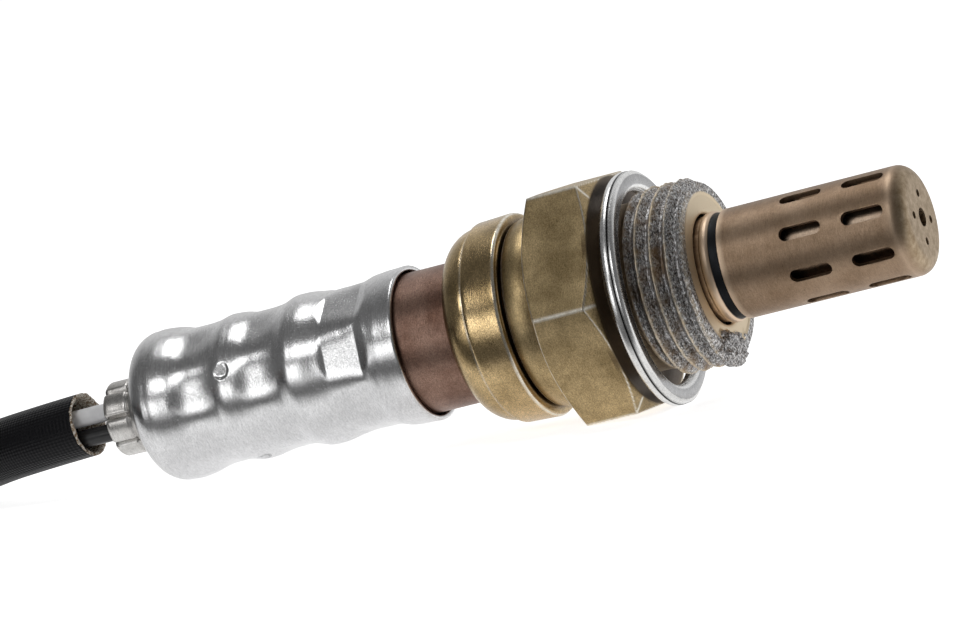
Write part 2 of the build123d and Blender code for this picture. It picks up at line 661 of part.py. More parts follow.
def slab(start, length, width, height, corner):
    """Block along X with its long edges rounded."""
    section = Plane.YZ * RectangleRounded(width, height, corner)
    return extrude(section, length).moved(Location((start, 0, 0)))


def connector_housing():
    """Grip block with ribs, a narrower nose with the terminal cavities, and the latch's recess."""
    body = slab(HOUSING_START, HOUSING_LENGTH, HOUSING_WIDTH, HOUSING_HEIGHT, HOUSING_CORNER)
    body = body + slab(NOSE_START, NOSE_LENGTH, NOSE_WIDTH, NOSE_HEIGHT, NOSE_CORNER)
    rib_x = HOUSING_START + HOUSING_LENGTH / 2
    for side in (-1, 1):
        for k in range(RIB_COUNT):
            z = (k - (RIB_COUNT - 1) / 2) * HOUSING_HEIGHT / (RIB_COUNT + 1)
            rib = Box(RIB_LENGTH, 2 * RIB_HEIGHT, RIB_WIDTH)
            body = body + rib.moved(Location((rib_x, side * HOUSING_WIDTH / 2, z)))
    socket = rod(HOUSING_START, BOOT_LENGTH, BOOT_DIAMETER)
    cuts = [socket, lock_recess()]
    for y in terminal_places():
        hole = Box(TERMINAL_DEPTH, TERMINAL_HOLE, TERMINAL_HOLE)
        cuts.append(hole.moved(Location((NOSE_END - TERMINAL_DEPTH / 2, y, 0))))
    return cut_all(body, cuts)


def lock_recess():
    depth = LOCK_THICK + LOCK_GAP
    length = LOCK_LENGTH + 2 * LOCK_PLAY
    recess = Box(length, LOCK_WIDTH + 2 * LOCK_PLAY, depth)
    x = NOSE_START - length / 2
    return recess.moved(Location((x, 0, HOUSING_HEIGHT / 2 - depth / 2)))


def connector_lock():
    """Latch lever that stands on its hinge foot in the housing's recess."""
    top = HOUSING_HEIGHT / 2
    x = NOSE_START - LOCK_LENGTH / 2 - LOCK_PLAY
    end = NOSE_START - LOCK_PLAY - LOCK_CATCH / 2
    lever = Box(LOCK_LENGTH, LOCK_WIDTH, LOCK_THICK).moved(Location((x, 0, top - LOCK_THICK / 2)))
    foot = Box(LOCK_FOOT, LOCK_WIDTH - 2 * LOCK_PLAY, LOCK_GAP)
    foot = foot.moved(Location((x, 0, top - LOCK_THICK - LOCK_GAP / 2)))
    catch = Box(LOCK_CATCH, LOCK_WIDTH, LOCK_CATCH_HEIGHT)
    catch = catch.moved(Location((end, 0, top + LOCK_CATCH_HEIGHT / 2)))
    return lever + foot + catch


def connector_boot():
    """Ribbed rubber boot that seals the sleeve into the housing."""
    big = BOOT_DIAMETER / 2
    small = BOOT_END_DIAMETER / 2
    rib = small + BOOT_RIB_HEIGHT
    pitch = HOUSING_START / (BOOT_RIBS + 0.5)
    corners = [(0, 0), (0, small)]
    for k in range(BOOT_RIBS):
        start = (k + 0.5) * pitch
        corners += [(start, small), (start, rib), (start + pitch / 2, rib), (start + pitch / 2, small)]
    corners += [(HOUSING_START, small), (HOUSING_START, big), (BOOT_LENGTH, big), (BOOT_LENGTH, 0)]
    return turned(*corners)


def nose_seal():
    outer = slab(
        NOSE_START, NOSE_SEAL_LENGTH, NOSE_WIDTH + 2 * NOSE_SEAL_PROUD, NOSE_HEIGHT + 2 * NOSE_SEAL_PROUD,
        NOSE_CORNER + NOSE_SEAL_PROUD,
    )
    return outer - slab(NOSE_START, NOSE_SEAL_LENGTH, NOSE_WIDTH, NOSE_HEIGHT, NOSE_CORNER)


def terminals():
    """Four female terminals, folded square tubes, each in its cavity."""
    size = TERMINAL_HOLE - 2 * SLIP
    length = TERMINAL_DEPTH - TERMINAL_INSET
    group = []
    for y in terminal_places():
        body = Box(length, size, size) - Box(length, size - 2 * TERMINAL_WALL, size - 2 * TERMINAL_WALL)
        group.append(body.moved(Location((NOSE_END - TERMINAL_DEPTH + length / 2, y, 0))))
    return Compound(group)


last_run = Vector(*CONNECTOR_AT) - Vector(*TAIL_ROUTE[-1])
heading = degrees(atan2(last_run.Y, last_run.X))
CONNECTOR = Location((CONNECTOR_AT[0], CONNECTOR_AT[1], HOUSING_HEIGHT / 2), (0, 0, heading))
CONNECTOR = CONNECTOR * Pos(BOOT_GAP, 0, 0)

PARTS = {name: solid.moved(LAID) for name, solid in SENSOR.items()}
PARTS["harness_sleeve"] = harness_sleeve()
PARTS["harness_coil"] = harness_coil()
PARTS["harness_tail"] = harness_tail()
for make in (connector_housing, connector_lock, connector_boot, nose_seal, terminals):
    PARTS["connector_terminals" if make is terminals else make.__name__] = make().moved(CONNECTOR)

os.makedirs("parts", exist_ok=True)
for name, solid in PARTS.items():
    export_step(solid, f"parts/{name}.step")
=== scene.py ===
"""Oxygen sensor: the looks of every visible piece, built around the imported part."""

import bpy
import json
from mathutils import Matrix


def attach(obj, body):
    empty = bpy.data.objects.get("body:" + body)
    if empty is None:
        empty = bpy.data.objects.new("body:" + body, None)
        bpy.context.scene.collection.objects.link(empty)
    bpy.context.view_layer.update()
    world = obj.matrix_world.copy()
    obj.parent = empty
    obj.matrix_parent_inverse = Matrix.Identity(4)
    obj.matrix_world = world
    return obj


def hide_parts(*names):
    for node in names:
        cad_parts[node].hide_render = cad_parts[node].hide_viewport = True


bl_info = {
    "name": "Oxygen sensor",
    "version": (1, 0, 0),
    "blender": (4, 5, 0),
    "location": "View3D > Sidebar > Oxygen sensor",
    "description": "Builds the finishes, the thread, the crimped cover and the harness of an oxygen sensor",
    "category": "Add Mesh",
}

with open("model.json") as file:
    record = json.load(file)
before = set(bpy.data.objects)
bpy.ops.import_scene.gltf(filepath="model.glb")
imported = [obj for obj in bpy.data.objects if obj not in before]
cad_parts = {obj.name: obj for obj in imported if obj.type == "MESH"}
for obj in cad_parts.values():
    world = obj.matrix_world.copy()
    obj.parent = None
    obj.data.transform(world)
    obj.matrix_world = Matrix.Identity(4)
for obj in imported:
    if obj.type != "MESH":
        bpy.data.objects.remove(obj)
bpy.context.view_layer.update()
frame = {"nodes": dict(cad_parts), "record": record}

import json
from math import atan2, cos, exp, hypot, pi, radians, sin, tan

import bpy
from bpy.props import FloatProperty, FloatVectorProperty, PointerProperty
from mathutils import Matrix, Quaternion, Vector, noise

# ---- Where the sensor lies: millimetres along its axis from the gasket seat, tip forward ----
MM = 0.001
THREAD = next(m for m in frame["record"]["mounts"] if m["name"] == "thread")
THREAD_MIDDLE = 5.475
AXIS = Vector(THREAD["axis"]).normalized()
SEAT = Vector(THREAD["pos_m"]) - AXIS * THREAD_MIDDLE * MM
TILT = atan2(AXIS.z, AXIS.x)
LAY = Matrix.Translation(SEAT) @ Matrix.Rotation(-TILT, 4, "Y") @ Matrix.Scale(MM, 4)

# ---- Shell, mm ----
HEX_FLAT = 11.0
HEX_LENGTH = 6.7
HEX_CHAMFER = 25.0         # degrees from the end face
HEX_RIM = HEX_FLAT - 0.05  # where the chamfer cones meet the end faces
HEX_ROUND = 0.16
RELIEF_RADIUS = 8.0        # the groove that the gasket sits over
NECK_RADIUS = 8.85
NECK_LENGTH = 3.1
NECK_SWELL = 0.42
NECK_WAVE = 0.92           # part of a half wave that the swell runs through
COLLAR_FRONT = -10.1
COLLAR_REAR = -13.9
COLLAR_RADIUS = 9.9
COLLAR_TAPER = 0.045       # radius lost per millimetre towards the rear
LIP_LENGTH = 2.9
LIP_HEIGHT = 2.5
LIP_REAR = COLLAR_REAR - LIP_LENGTH

# ---- Thread, mm ----
SHELL_FRONT = 8.4
THREAD_RADIUS = 9.0
THREAD_ROOT = 8.05
THREAD_START = 2.0
THREAD_CHAMFER = 0.5
CHAMFER_SLOPE = 1.6

# ---- Gasket, mm: where it rests on the thread and the seam left by its fold ----
GASKET_INNER = 9.35
GASKET_MIDDLE = 1.75
GASKET_DROP = 0.3
GASKET_BEND = 0.55
GASKET_SEAM = 0.25
SEAM_DEPTH = 0.5

# ---- Protection tube, mm and degrees ----
TIP_RADIUS = 5.25
TIP_END = 29.0
TIP_WALL = 0.5
TIP_ROUND = 1.5
TUBE_START = 10.5
BEAD_START = 8.62
BEAD_END = 9.62
BEAD_ROOT = 5.05
SLOT_ROWS = (18.8, 25.0)
SLOT_CLOCK = 25.0
SLOT_COUNT = 8
END_HOLE = 0.9
END_SMALL_HOLE = 0.37
END_SMALL_CIRCLE = 2.28
END_SMALL_CLOCK = 12.0

# ---- Rear tube and cover, mm and degrees ----
SLEEVE_RADIUS = 6.85
SLEEVE_END = -24.0
COVER_FRONT = -22.2
COVER_REAR = -52.2
COVER_RADIUS = 7.6
COVER_WALL = 0.5
COVER_OPENING = 3.85
DOME_START = -49.0
DOME_BASE = 5.75
DOME_LENGTH = 2.4
DOME_HEIGHT = 1.7
COVER_SIDE = [             # x and radius, from the rear, before the jaws close
    (-49.7, 7.36), (-48.6, 7.46), (-46.2, 7.24), (-44.4, 7.16), (-41.3, 7.24), (-39.5, 7.14),
    (-37.6, 7.12), (-34.3, 7.47), (-33.0, 7.44), (-30.3, 7.1), (-28.0, 7.16), (-26.3, 7.27),
    (-25.2, 7.45), (-24.0, 7.54), (COVER_FRONT, COVER_RADIUS),
]
JAWS = 8
JAW_CLOCK = 9.2
JAW_SHARP = (0.25, 2.3)    # where the jaw's rear wall starts and how far it runs
JAW_SOFT = (0.25, 2.8)     # the same for its front wall
JAW_RISE = 0.55
JAW_CORNER = 0.24          # the rounded corners between jaws stand out by this
JAW_CORNER_REACH = 2.2
JAW_ROUND = 0.2
CRIMP_CENTRES = (15.2, 22.0)
BAND = (4.1, 7.8)
BAND_FLAT = 6.88
BAND_SLOPE = 0.55
BAND_ROUND = 0.22
STAKES = 4
STAKE_CIRCLE = 7.2
STAKE_RADIUS = 0.82
STAKE_CENTRE = 18.6
STAKE_CLOCK = 20.5
STAKE_LEAN = (0.08, -0.16)   # depth gained per millimetre forwards and round

# ---- Ferrule and wires, mm and degrees ----
FERRULE_RADIUS = 3.6
FERRULE_END = -55.7
LOBES = 8
LOBE_START = -53.1
LOBE_CLOCK = 8.0
CLEFT_DEPTH = 0.5
CLEFT_WIDTH = 6.0          # degrees
WIRE_ENDS = (-50.0, -62.5)
WIRE_CIRCLE = 1.45
WIRE_CLOCK = 48.0
WIRES = (                  # node, finish and slot, a quarter turn apart
    ("heater_wire_1", "white_insulation", "wire_white"),
    ("heater_wire_2", "white_insulation_b", "wire_white"),
    ("ground_wire", "grey_insulation", "wire_grey"),
    ("signal_wire", "black_insulation", "wire_black"),
)

# ---- The harness's route, metres, in the row frame ----
HARNESS_RADIUS = 3.2       # mm
MOUTH = (-0.045832, 0.0, 0.006802)
LEAD_ROUTE = [
    (-0.0545, 0.0008, 0.00575), (-0.0615, 0.004, 0.0043), (-0.0685, 0.0075, 0.00325),
    (-0.076, 0.0075, 0.00325), (-0.087, 0.0075, 0.00325),
]
COIL_TOP = (-0.098, 0.0075)
COIL_RADIUS = 0.036
COIL_POINTS = 14
COIL_FLOOR = 0.00325
COIL_LIFT = 0.00645
LIFT_START = 4.6           # control points before the end of the turn
LIFT_LENGTH = 4.0
TAIL_ROUTE = [(-0.1055, 0.0075, 0.0097), (-0.1148, -0.002, 0.0097), (-0.114, -0.0156, 0.0075)]
CONNECTOR_AT = (-0.1076, -0.0212, 0.0075)

# ---- Stage, metres and degrees ----
# The floor shows the metal a darker shade and pale glowing patches that the camera doesn't see: painted
# reflections.
FLOOR_COLOUR = (0.86, 0.86, 0.86)
REFLECTED_FLOOR_SHADE = (0.26, 0.26, 0.26)   # what the metal sees of the rest of the floor
FLOOR_GLOW = 0.8                   # brings the floor to white where the camera sees it
REFLECTION_GLOW = 0.6
PALE_BEHIND = (-0.021, -0.011)     # Y where the metal begins to see a pale floor under and behind the part
PALE_AHEAD = (-0.05, -0.07)        # the same for the pale patch on the camera's side
PALE_AHEAD_SIDE = (0.0, -0.03)     # X where that patch begins
LIGHT_AIM = (0, 0, 0.015)
LIGHT_DISTANCE = 0.7
CAMERA_AIM = (-0.00039, -0.00618, 0.01145)
CAMERA_AZIMUTH = 22.38
CAMERA_ELEVATION = 4.26
CAMERA_ROLL = -10.7
CAMERA_DISTANCE = 0.5161
CAMERA_LENS = 206.25


# ---- Numbers ----
def steps(start, end, count):
    """Evenly spaced values from start to end, both included."""
    return [start + (end - start) * k / count for k in range(count + 1)]


def clamp(value):
    """Value kept between 0 and 1."""
    return min(1.0, max(0.0, value))


def near(distance, reach):
    """1 at no distance, falling straight to 0 at reach."""
    return max(0.0, 1 - abs(distance) / reach)


def eased(t):
    """0 to 1 with a soft start and a soft end."""
    return t * t * (3 - 2 * t)


def soft_min(a, b, k):
    """Smaller of two, rounded where they meet."""
    h = max(k - abs(a - b), 0.0) / k
    return min(a, b) - h * h * k / 4


def between(points, x):
    """Smooth value at x through sorted (x, value) points."""
    if x <= points[0][0]:
        return points[0][1]
    for (x0, y0), (x1, y1) in zip(points, points[1:]):
        if x <= x1:
            return y0 + (y1 - y0) * eased((x - x0) / (x1 - x0))
    return points[-1][1]


def triple(value):
    """A tuple as it is, a number three times over."""
    return value if isinstance(value, tuple) else (value,) * 3


# ---- Modelling helpers ----
def edge(x, r, offsets):
    """Stations at (along, out) offsets from the corner at x and radius r."""
    return [(x + along, r + out) for along, out in offsets]


def arc(x, r, along, out, start, end, count):
    """Stations round an elliptical arc, its degrees counted from straight out towards along."""
    return [(x + along * sin(radians(a)), r + out * cos(radians(a))) for a in steps(start, end, count)]


def take(*pieces):
    """Selects only these pieces and makes the first one active."""
    bpy.ops.object.select_all(action="DESELECT")
    for piece in pieces:
        piece.select_set(True)
    if pieces:
        bpy.context.view_layer.objects.active = pieces[0]


def lathe(name, stations, segments, closed=False):
    """A ring drawn along the sensor's axis through (x, radius) stations by extruding and scaling."""
    take()
    x, r = stations[0]
    across = {"location": (0, 0, 0), "rotation": (0, pi / 2, 0)}
    bpy.ops.mesh.primitive_circle_add(vertices=segments, radius=r, **across)
    obj = bpy.context.object
    obj.name = name
    bpy.ops.object.transform_apply(location=True, rotation=True, scale=True)
    bpy.ops.object.mode_set(mode="EDIT")
    bpy.ops.mesh.select_all(action="SELECT")
    bpy.ops.transform.translate(value=(x, 0, 0))
    for (x0, r0), (x1, r1) in zip(stations, stations[1:]):
        bpy.ops.mesh.extrude_region_move(TRANSFORM_OT_translate={"value": (x1 - x0, 0, 0)})
        bpy.ops.transform.resize(value=(1, r1 / r0, r1 / r0), center_override=(x1, 0, 0))
    bpy.ops.mesh.select_all(action="SELECT")
    if closed:
        bpy.ops.mesh.remove_doubles(threshold=0.004)
    bpy.ops.mesh.normals_make_consistent(inside=False)
    bpy.ops.object.mode_set(mode="OBJECT")
    return obj


def clock_of(v):
    """Angle about the axis, degrees, from the -Y side up towards +Z."""
    return atan2(v.z, -v.y) * 180 / pi


def reshape(obj, radius_of, *sizes):
    """Moves every vertex to the radius that radius_of(x, radius, clock, sizes) gives."""
    for vertex in obj.data.vertices:
        v = vertex.co
        r = hypot(v.y, v.z)
        scale = radius_of(v.x, r, clock_of(v), *sizes) / r
        v.y *= scale
        v.z *= scale


def paint(obj, tone_of, *sizes):
    """Stores tone_of(x, radius, clock, sizes) as the colour attribute named tone."""
    layer = obj.data.attributes.new("tone", "FLOAT_COLOR", "POINT")
    for vertex in obj.data.vertices:
        v = vertex.co
        layer.data[vertex.index].color = (*tone_of(v.x, hypot(v.y, v.z), clock_of(v), *sizes), 1.0)


def finish_piece(obj, material, nodes, smooth, lay=True):
    """Lays the piece down, smooths its edges under smooth degrees and ties it to the frame."""
    if lay:
        obj.data.transform(LAY)
    take(obj)
    bpy.ops.object.shade_smooth_by_angle(angle=radians(smooth))
    obj.data.materials.clear()
    obj.data.materials.append(material)
    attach(obj, "root")
    if nodes:
        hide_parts(*nodes)


def apply_modifier(obj, kind, **settings):
    """Adds a modifier, sets it and applies it."""
    take(obj)
    modifier = obj.modifiers.new(kind.title(), kind)
    for key, value in settings.items():
        setattr(modifier, key, value)
    bpy.ops.object.modifier_apply(modifier=modifier.name)


# ---- Materials ----
class Nodes:
    """A material's node tree with short calls for what the finishes share."""

    def __init__(self, name):
        """Makes the material, with its shader and object coordinates at hand."""
        self.material = bpy.data.materials.new(name)
        self.material.use_nodes = True
        self.tree = self.material.node_tree
        self.shader = self.tree.nodes["Principled BSDF"]
        self.coord = self.tree.nodes.new("ShaderNodeTexCoord")

    def add(self, kind, values=None, **settings):
        """A new node with its settings, and values for the inputs that stay unlinked."""
        node = self.tree.nodes.new(kind)
        for key, value in settings.items():
            setattr(node, key, value)
        for key, value in (values or {}).items():
            node.inputs[key].default_value = value
        return node

    def link(self, a, b):
        """Joins output a to input b."""
        self.tree.links.new(a, b)

    def feed(self, socket, value):
        """Gives an input another node's output, a colour or a number."""
        if isinstance(value, bpy.types.NodeSocket):
            self.link(value, socket)
        elif isinstance(value, tuple):
            socket.default_value = (*value, 1)[: len(socket.default_value)]
        else:
            socket.default_value = value

    def mapped(self, scale):
        """Object coordinates turned to the sensor's axis, in millimetres times scale."""
        turn = self.add("ShaderNodeMapping", {"Rotation": (0, TILT, 0), "Scale": triple(1 / MM)})
        stretch = self.add("ShaderNodeMapping", {"Scale": triple(scale)})
        self.link(self.coord.outputs["Object"], turn.inputs["Vector"])
        self.link(turn.outputs["Vector"], stretch.inputs["Vector"])
        return stretch.outputs["Vector"]

    def noise(self, scale, detail, rough):
        """Cloudy values, finer as the scale along, across and up grows."""
        node = self.add("ShaderNodeTexNoise", {"Scale": 1.0, "Detail": detail, "Roughness": rough})
        self.link(self.mapped(scale), node.inputs["Vector"])
        return node.outputs["Fac"]

    def ramp(self, value, stops):
        """Value turned into a colour through (place, colour) stops, a number standing for a grey."""
        node = self.add("ShaderNodeValToRGB")
        ramp = node.color_ramp
        while len(ramp.elements) < len(stops):
            ramp.elements.new(0.5)
        for element, (place, colour) in zip(ramp.elements, stops):
            element.position = place
            element.color = (*triple(colour), 1)
        self.link(value, node.inputs["Fac"])
        return node.outputs["Color"]

    def mix(self, factor, a, b, blend="MIX"):
        """Colour a turning into b, through the mix node's colour sockets, 6 and 7 in and 2 out."""
        node = self.add("ShaderNodeMix", data_type="RGBA", blend_type=blend)
        for socket, value in zip((0, 6, 7), (factor, a, b)):
            self.feed(node.inputs[socket], value)
        return node.outputs[2]

    def tinted(self, colour, tint):
        """Colour times tint, channel by channel."""
        return self.mix(1.0, colour, tint, "MULTIPLY")

    def math(self, operation, a, b):
        """One sum with two values."""
        node = self.add("ShaderNodeMath", operation=operation)
        self.feed(node.inputs[0], a)
        self.feed(node.inputs[1], b)
        return node.outputs[0]

    def times(self, a, b):
        """Product of two values."""
        return self.math("MULTIPLY", a, b)

    def fade(self, value, start, end):
        """0 at start rising smoothly to 1 at end."""
        limits = {"From Min": start, "From Max": end}
        node = self.add("ShaderNodeMapRange", limits, interpolation_type="SMOOTHSTEP")
        self.link(value, node.inputs["Value"])
        return node.outputs["Result"]

    def apart(self, vector):
        """The X, Y and Z of a vector."""
        node = self.add("ShaderNodeSeparateXYZ")
        self.link(vector, node.inputs["Vector"])
        return node.outputs[:3]

    def tone(self):
        """The painted tone's three channels."""
        node = self.add("ShaderNodeAttribute", attribute_name="tone")
        split = self.add("ShaderNodeSeparateColor")
        self.link(node.outputs["Color"], split.inputs["Color"])
        return split.outputs[:3]

    def bump(self, height, strength, distance, normal=None):
        """Relief from a height in millimetres, on top of another normal where there is one."""
        node = self.add("ShaderNodeBump", {"Strength": strength, "Distance": distance * MM})
        self.link(height, node.inputs["Height"])
        if normal is not None:
            self.link(normal, node.inputs["Normal"])
        return node.outputs["Normal"]

    def done(self, colour, roughness, normal, metallic=1.0, **sockets):
        """Feeds the shader and hands over the material."""
        self.feed(self.shader.inputs["Base Color"], colour)
        self.feed(self.shader.inputs["Roughness"], roughness)
        self.feed(self.shader.inputs["Metallic"], metallic)
        self.link(normal, self.shader.inputs["Normal"])
        for name, value in sockets.items():
            self.feed(self.shader.inputs[name.replace("_", " ")], value)
        return self.material


def grained_metal(name, dark, light, rough, grain=0.25, spots=0.0, painted=None, speckle=0.12, polish=0.0):
    """Turned metal: fine grain round the axis, cloudy tint and a little scatter in the gloss."""
    n = Nodes(name)
    clouds = n.noise(0.25, 5, 0.6)
    fine = n.noise((9.0, 1.6, 1.6), 3, 0.7)
    grit = n.noise(5.0, 2, 0.5)
    flecks = n.noise((11, 7, 7), 2, 0.8)
    colour = n.mix(n.ramp(clouds, [(0.35, 0), (0.65, 1)]), dark, light)
    colour = n.tinted(colour, n.ramp(fine, [(0.25, 0.78), (0.75, 1.12)]))
    colour = n.tinted(colour, n.ramp(flecks, [(0.34, 1 - speckle), (0.66, 1 + speckle)]))
    if spots:
        dots = n.ramp(n.noise(2.2, 4, 0.75), [(0.60, 1), (0.72, 1 - spots)])
        colour = n.tinted(colour, dots)
    if painted:
        colour = painted(n, colour)
    gloss = n.math("ADD", n.times(grit, 0.16), rough - 0.08)
    if polish:
        gloss = n.math("SUBTRACT", gloss, n.times(n.tone()[2], polish))
    normal = n.bump(fine, grain, 0.03)
    normal = n.bump(grit, grain * 0.6, 0.02, normal)
    return n.done(colour, gloss, normal)


def plastic(name, colour, rough=0.35):
    """Faintly mottled plastic or rubber, or the ceramic of the inner pieces."""
    n = Nodes(name)
    low = tuple(c * 0.9 for c in colour)
    high = tuple(min(1, c * 1.06) for c in colour)
    shade = n.ramp(n.noise(0.8, 3, 0.6), [(0.3, low), (0.7, high)])
    return n.done(shade, rough, n.bump(n.noise(8, 2, 0.5), 0.08, 0.02), 0.0)


# ---- Shell ----
def hex_faces(x, clock):
    """Radii of the hex's prism and of its front and rear chamfer cones."""
    prism = HEX_FLAT / cos(radians(abs((clock % 60) - 30)))
    slope = 1 / tan(radians(HEX_CHAMFER))
    return prism, HEX_RIM - x * slope, HEX_RIM + (x + HEX_LENGTH) * slope


def hex_radius(x, r, clock):
    """Hex prism rounded into the two cones that chamfer it."""
    if not -HEX_LENGTH - 0.001 <= x <= 0.001 or r < HEX_FLAT - 0.3:
        return r
    prism, front, rear = hex_faces(x, clock)
    return soft_min(soft_min(prism, front, HEX_ROUND), rear, HEX_ROUND)


def hex_wear_and_painted_light(x, r, clock):
    """Red: worn bare edges of the hex, partly a painted highlight, and painted highlight lines on the
    collar's edges. Green: painted shade on the hex's front beside the gasket and in the collar's groove.
    Blue: the smoother collar and lip, also painted paler as a painted highlight.
    """
    if -HEX_LENGTH - 0.01 <= x <= 0.01 and r > HEX_FLAT - 0.3:
        prism, front, rear = hex_faces(x, clock)
        # Bright lines on the hex's corners and chamfer edges: worn bare metal, partly a painted highlight.
        corner = 0.8 * near(30 - abs((clock % 60) - 30), 1.25)
        chamfer = 0.85 * near(prism - min(front, rear), 0.13)
        # Painted shade on the hex's front chamfer, close to the gasket.
        gap_shade = clamp((HEX_FLAT + 0.12 - r) / 0.2) if x > -0.5 else 0.0
        return (max(corner, chamfer) * (1 - gap_shade), gap_shade, 0.0)
    # Painted shade in the collar's groove and on the shell's front face.
    groove = 0.75 if COLLAR_FRONT <= x <= COLLAR_FRONT + 0.2 and r < 9.5 else 0.0
    dark = 1.0 if x > -0.01 else groove
    # Painted highlight lines along the collar's front and rear edges.
    rim = near(x - COLLAR_FRONT + 0.18, 0.16) if r > 9.5 else 0.0
    lip = near(x - COLLAR_FRONT - 0.26, 0.12) if r > 8.7 else 0.0
    back = near(x - COLLAR_REAR - 0.05, 0.12)
    return (max(rim, lip, back), dark, 1.0 if x < COLLAR_FRONT + 0.1 else 0.0)


def gold_wear_and_painted_light(n, colour):
    """Pale edges, partly worn bare metal and partly a painted highlight; painted shade beside the gasket and
    in the collar's groove; and the collar and lip painted paler as a painted highlight.
    """
    edges, shade_in_gaps, collar = n.tone()
    # Pale edge lines: worn bare metal, partly a painted highlight.
    worn = n.times(edges, n.times(n.noise(1.6, 4, 0.7), 2.4))
    # The collar and lip painted paler, a painted highlight.
    colour = n.mix(collar, colour, n.tinted(colour, (1.12, 1.1, 1.08)))
    colour = n.mix(worn, colour, (0.96, 0.92, 0.82))
    # Painted shade: dark brown beside the gasket and in the collar's groove.
    return n.mix(shade_in_gaps, colour, (0.075, 0.05, 0.03))


def build_shell(colours):
    """Hex, neck, groove, collar and rolled lip."""
    stations = [(0, r) for r in (RELIEF_RADIUS, 9.3, 10.4, 10.75, HEX_RIM)]
    stations += [(-x, HEX_FLAT + 0.5) for x in steps(0.02, HEX_LENGTH - 0.02, 84)]
    stations += [(-HEX_LENGTH, r) for r in (HEX_RIM, 10.7, 9.4, NECK_RADIUS + 0.15)]
    for x in steps(0.12, NECK_LENGTH, 18):
        swell = NECK_SWELL * sin(pi * NECK_WAVE * x / NECK_LENGTH)
        stations.append((-HEX_LENGTH - x, NECK_RADIUS + swell))
    groove = [(0.26, 0.07), (0.22, 0), (0.18, -0.45), (0.06, -0.5), (0, -0.4)]
    stations += edge(COLLAR_FRONT, NECK_RADIUS, groove)
    front_edge = [(0, -0.9), (0, -0.35), (-0.04, -0.22), (-0.14, -0.1), (-0.28, -0.02)]
    stations += edge(COLLAR_FRONT, COLLAR_RADIUS, front_edge)
    for x in steps(COLLAR_FRONT - 0.4, COLLAR_REAR + 0.35, 12):
        stations.append((x, COLLAR_RADIUS - (COLLAR_FRONT - 0.3 - x) * COLLAR_TAPER))
    rear_edge = [(0.2, -0.2), (0.08, -0.32), (0.02, -0.48), (0, -0.54), (-0.04, -0.54)]
    stations += edge(COLLAR_REAR, COLLAR_RADIUS, rear_edge)
    stations += arc(COLLAR_REAR, SLEEVE_RADIUS + 0.05, -LIP_LENGTH, LIP_HEIGHT, 4, 88, 22)
    stations += edge(LIP_REAR, SLEEVE_RADIUS, [(0, 0.03), (0.3, 0.01)])
    shell = lathe("shell_body", stations, 300)
    reshape(shell, hex_radius)
    paint(shell, hex_wear_and_painted_light)
    gold = grained_metal(
        "olive_gold_plate", (0.30, 0.22, 0.11), tuple(colours.plating), rough=0.38, grain=0.5,
        spots=0.35, painted=gold_wear_and_painted_light, speckle=0.34, polish=0.15,
    )
    finish_piece(shell, gold, ["hex_shell"], 50)


# ---- Thread ----
def ridge_at(x, clock, pitch):
    """Height of the thread at a place, 0 in its root and 1 on its crest."""
    turn = (x / pitch - clock / 360) % 1.0
    return 1 - clamp(abs(2 * turn - 1) * 1.25 - 0.1)


def on_thread(x, clock, along, around):
    """Place on the thread for the paste's noise, stretched along and around."""
    a = radians(clock)
    return Vector((x * along, THREAD_RADIUS * cos(a) * around, THREAD_RADIUS * sin(a) * around))


def lump_at(r, clock):
    """How far the squeezed-out paste stands proud of the front face, mm."""
    a = radians(clock)
    ragged = noise.fractal(Vector((r * 0.9, 6 * cos(a), 6 * sin(a))), 0.6, 2.1, 4)
    reach = exp(-(((clock + 78) / 26) ** 2)) * clamp((r - 5.6) / 0.9)
    return max(0.0, reach - 0.42 + 0.35 * ragged) * 1.3


def thread_radius(x, r, clock, pitch):
    """Helical ridge with smeared paste in its roots and a lump of it at the front."""
    if x > SHELL_FRONT - 0.02 or r < RELIEF_RADIUS - 0.05:
        return r
    run_in = clamp((x - THREAD_START) / 0.9)
    top = THREAD_RADIUS - max(0.0, x - (SHELL_FRONT - THREAD_CHAMFER)) * CHAMFER_SLOPE
    p = on_thread(x, clock, 1.1, 0.9)
    smear = noise.fractal(p, 0.6, 2.1, 4) * 0.08 + noise.noise(p * 6) * 0.05 - 0.04
    paste = 0.3 * max(0.0, noise.noise(p * 0.35) + 0.25) * (0.3 + 0.3 * min(1.0, x / SHELL_FRONT))
    lump = 0.55 * exp(-(((clock + 74) / 17) ** 2) - ((x - 7.7) / 0.8) ** 2)
    height = max(ridge_at(x, clock, pitch), paste) * run_in
    base = THREAD_ROOT + (THREAD_RADIUS - THREAD_ROOT) * height
    return min(base, top + 0.05) + (smear + lump) * run_in


def thread_tone(x, r, clock, pitch):
    """Red: bare metal. Green: paste. Blue: height, which the finish turns into painted shade in the thread's
    roots.
    """
    ridge = ridge_at(x, clock, pitch)
    crest = max(0.0, (ridge - 0.82) / 0.18)
    front = clamp((x - 6.6) / 0.5)
    paste = clamp(0.75 + noise.fractal(on_thread(x, clock, 0.9, 0.5), 0.7, 2.0, 3) * 0.9 + front)
    if x > SHELL_FRONT - 0.25 and r < 7.3:
        covered = 1.0 if lump_at(r, clock) > 0.08 else 0.0
        return (2.5 * (1 - covered), 1.3 * covered, 1.0)
    if x < THREAD_START + 0.5:
        return (0.55, 0.25 * paste, 0.6)
    return (crest * (1 - 0.6 * front), paste, ridge)


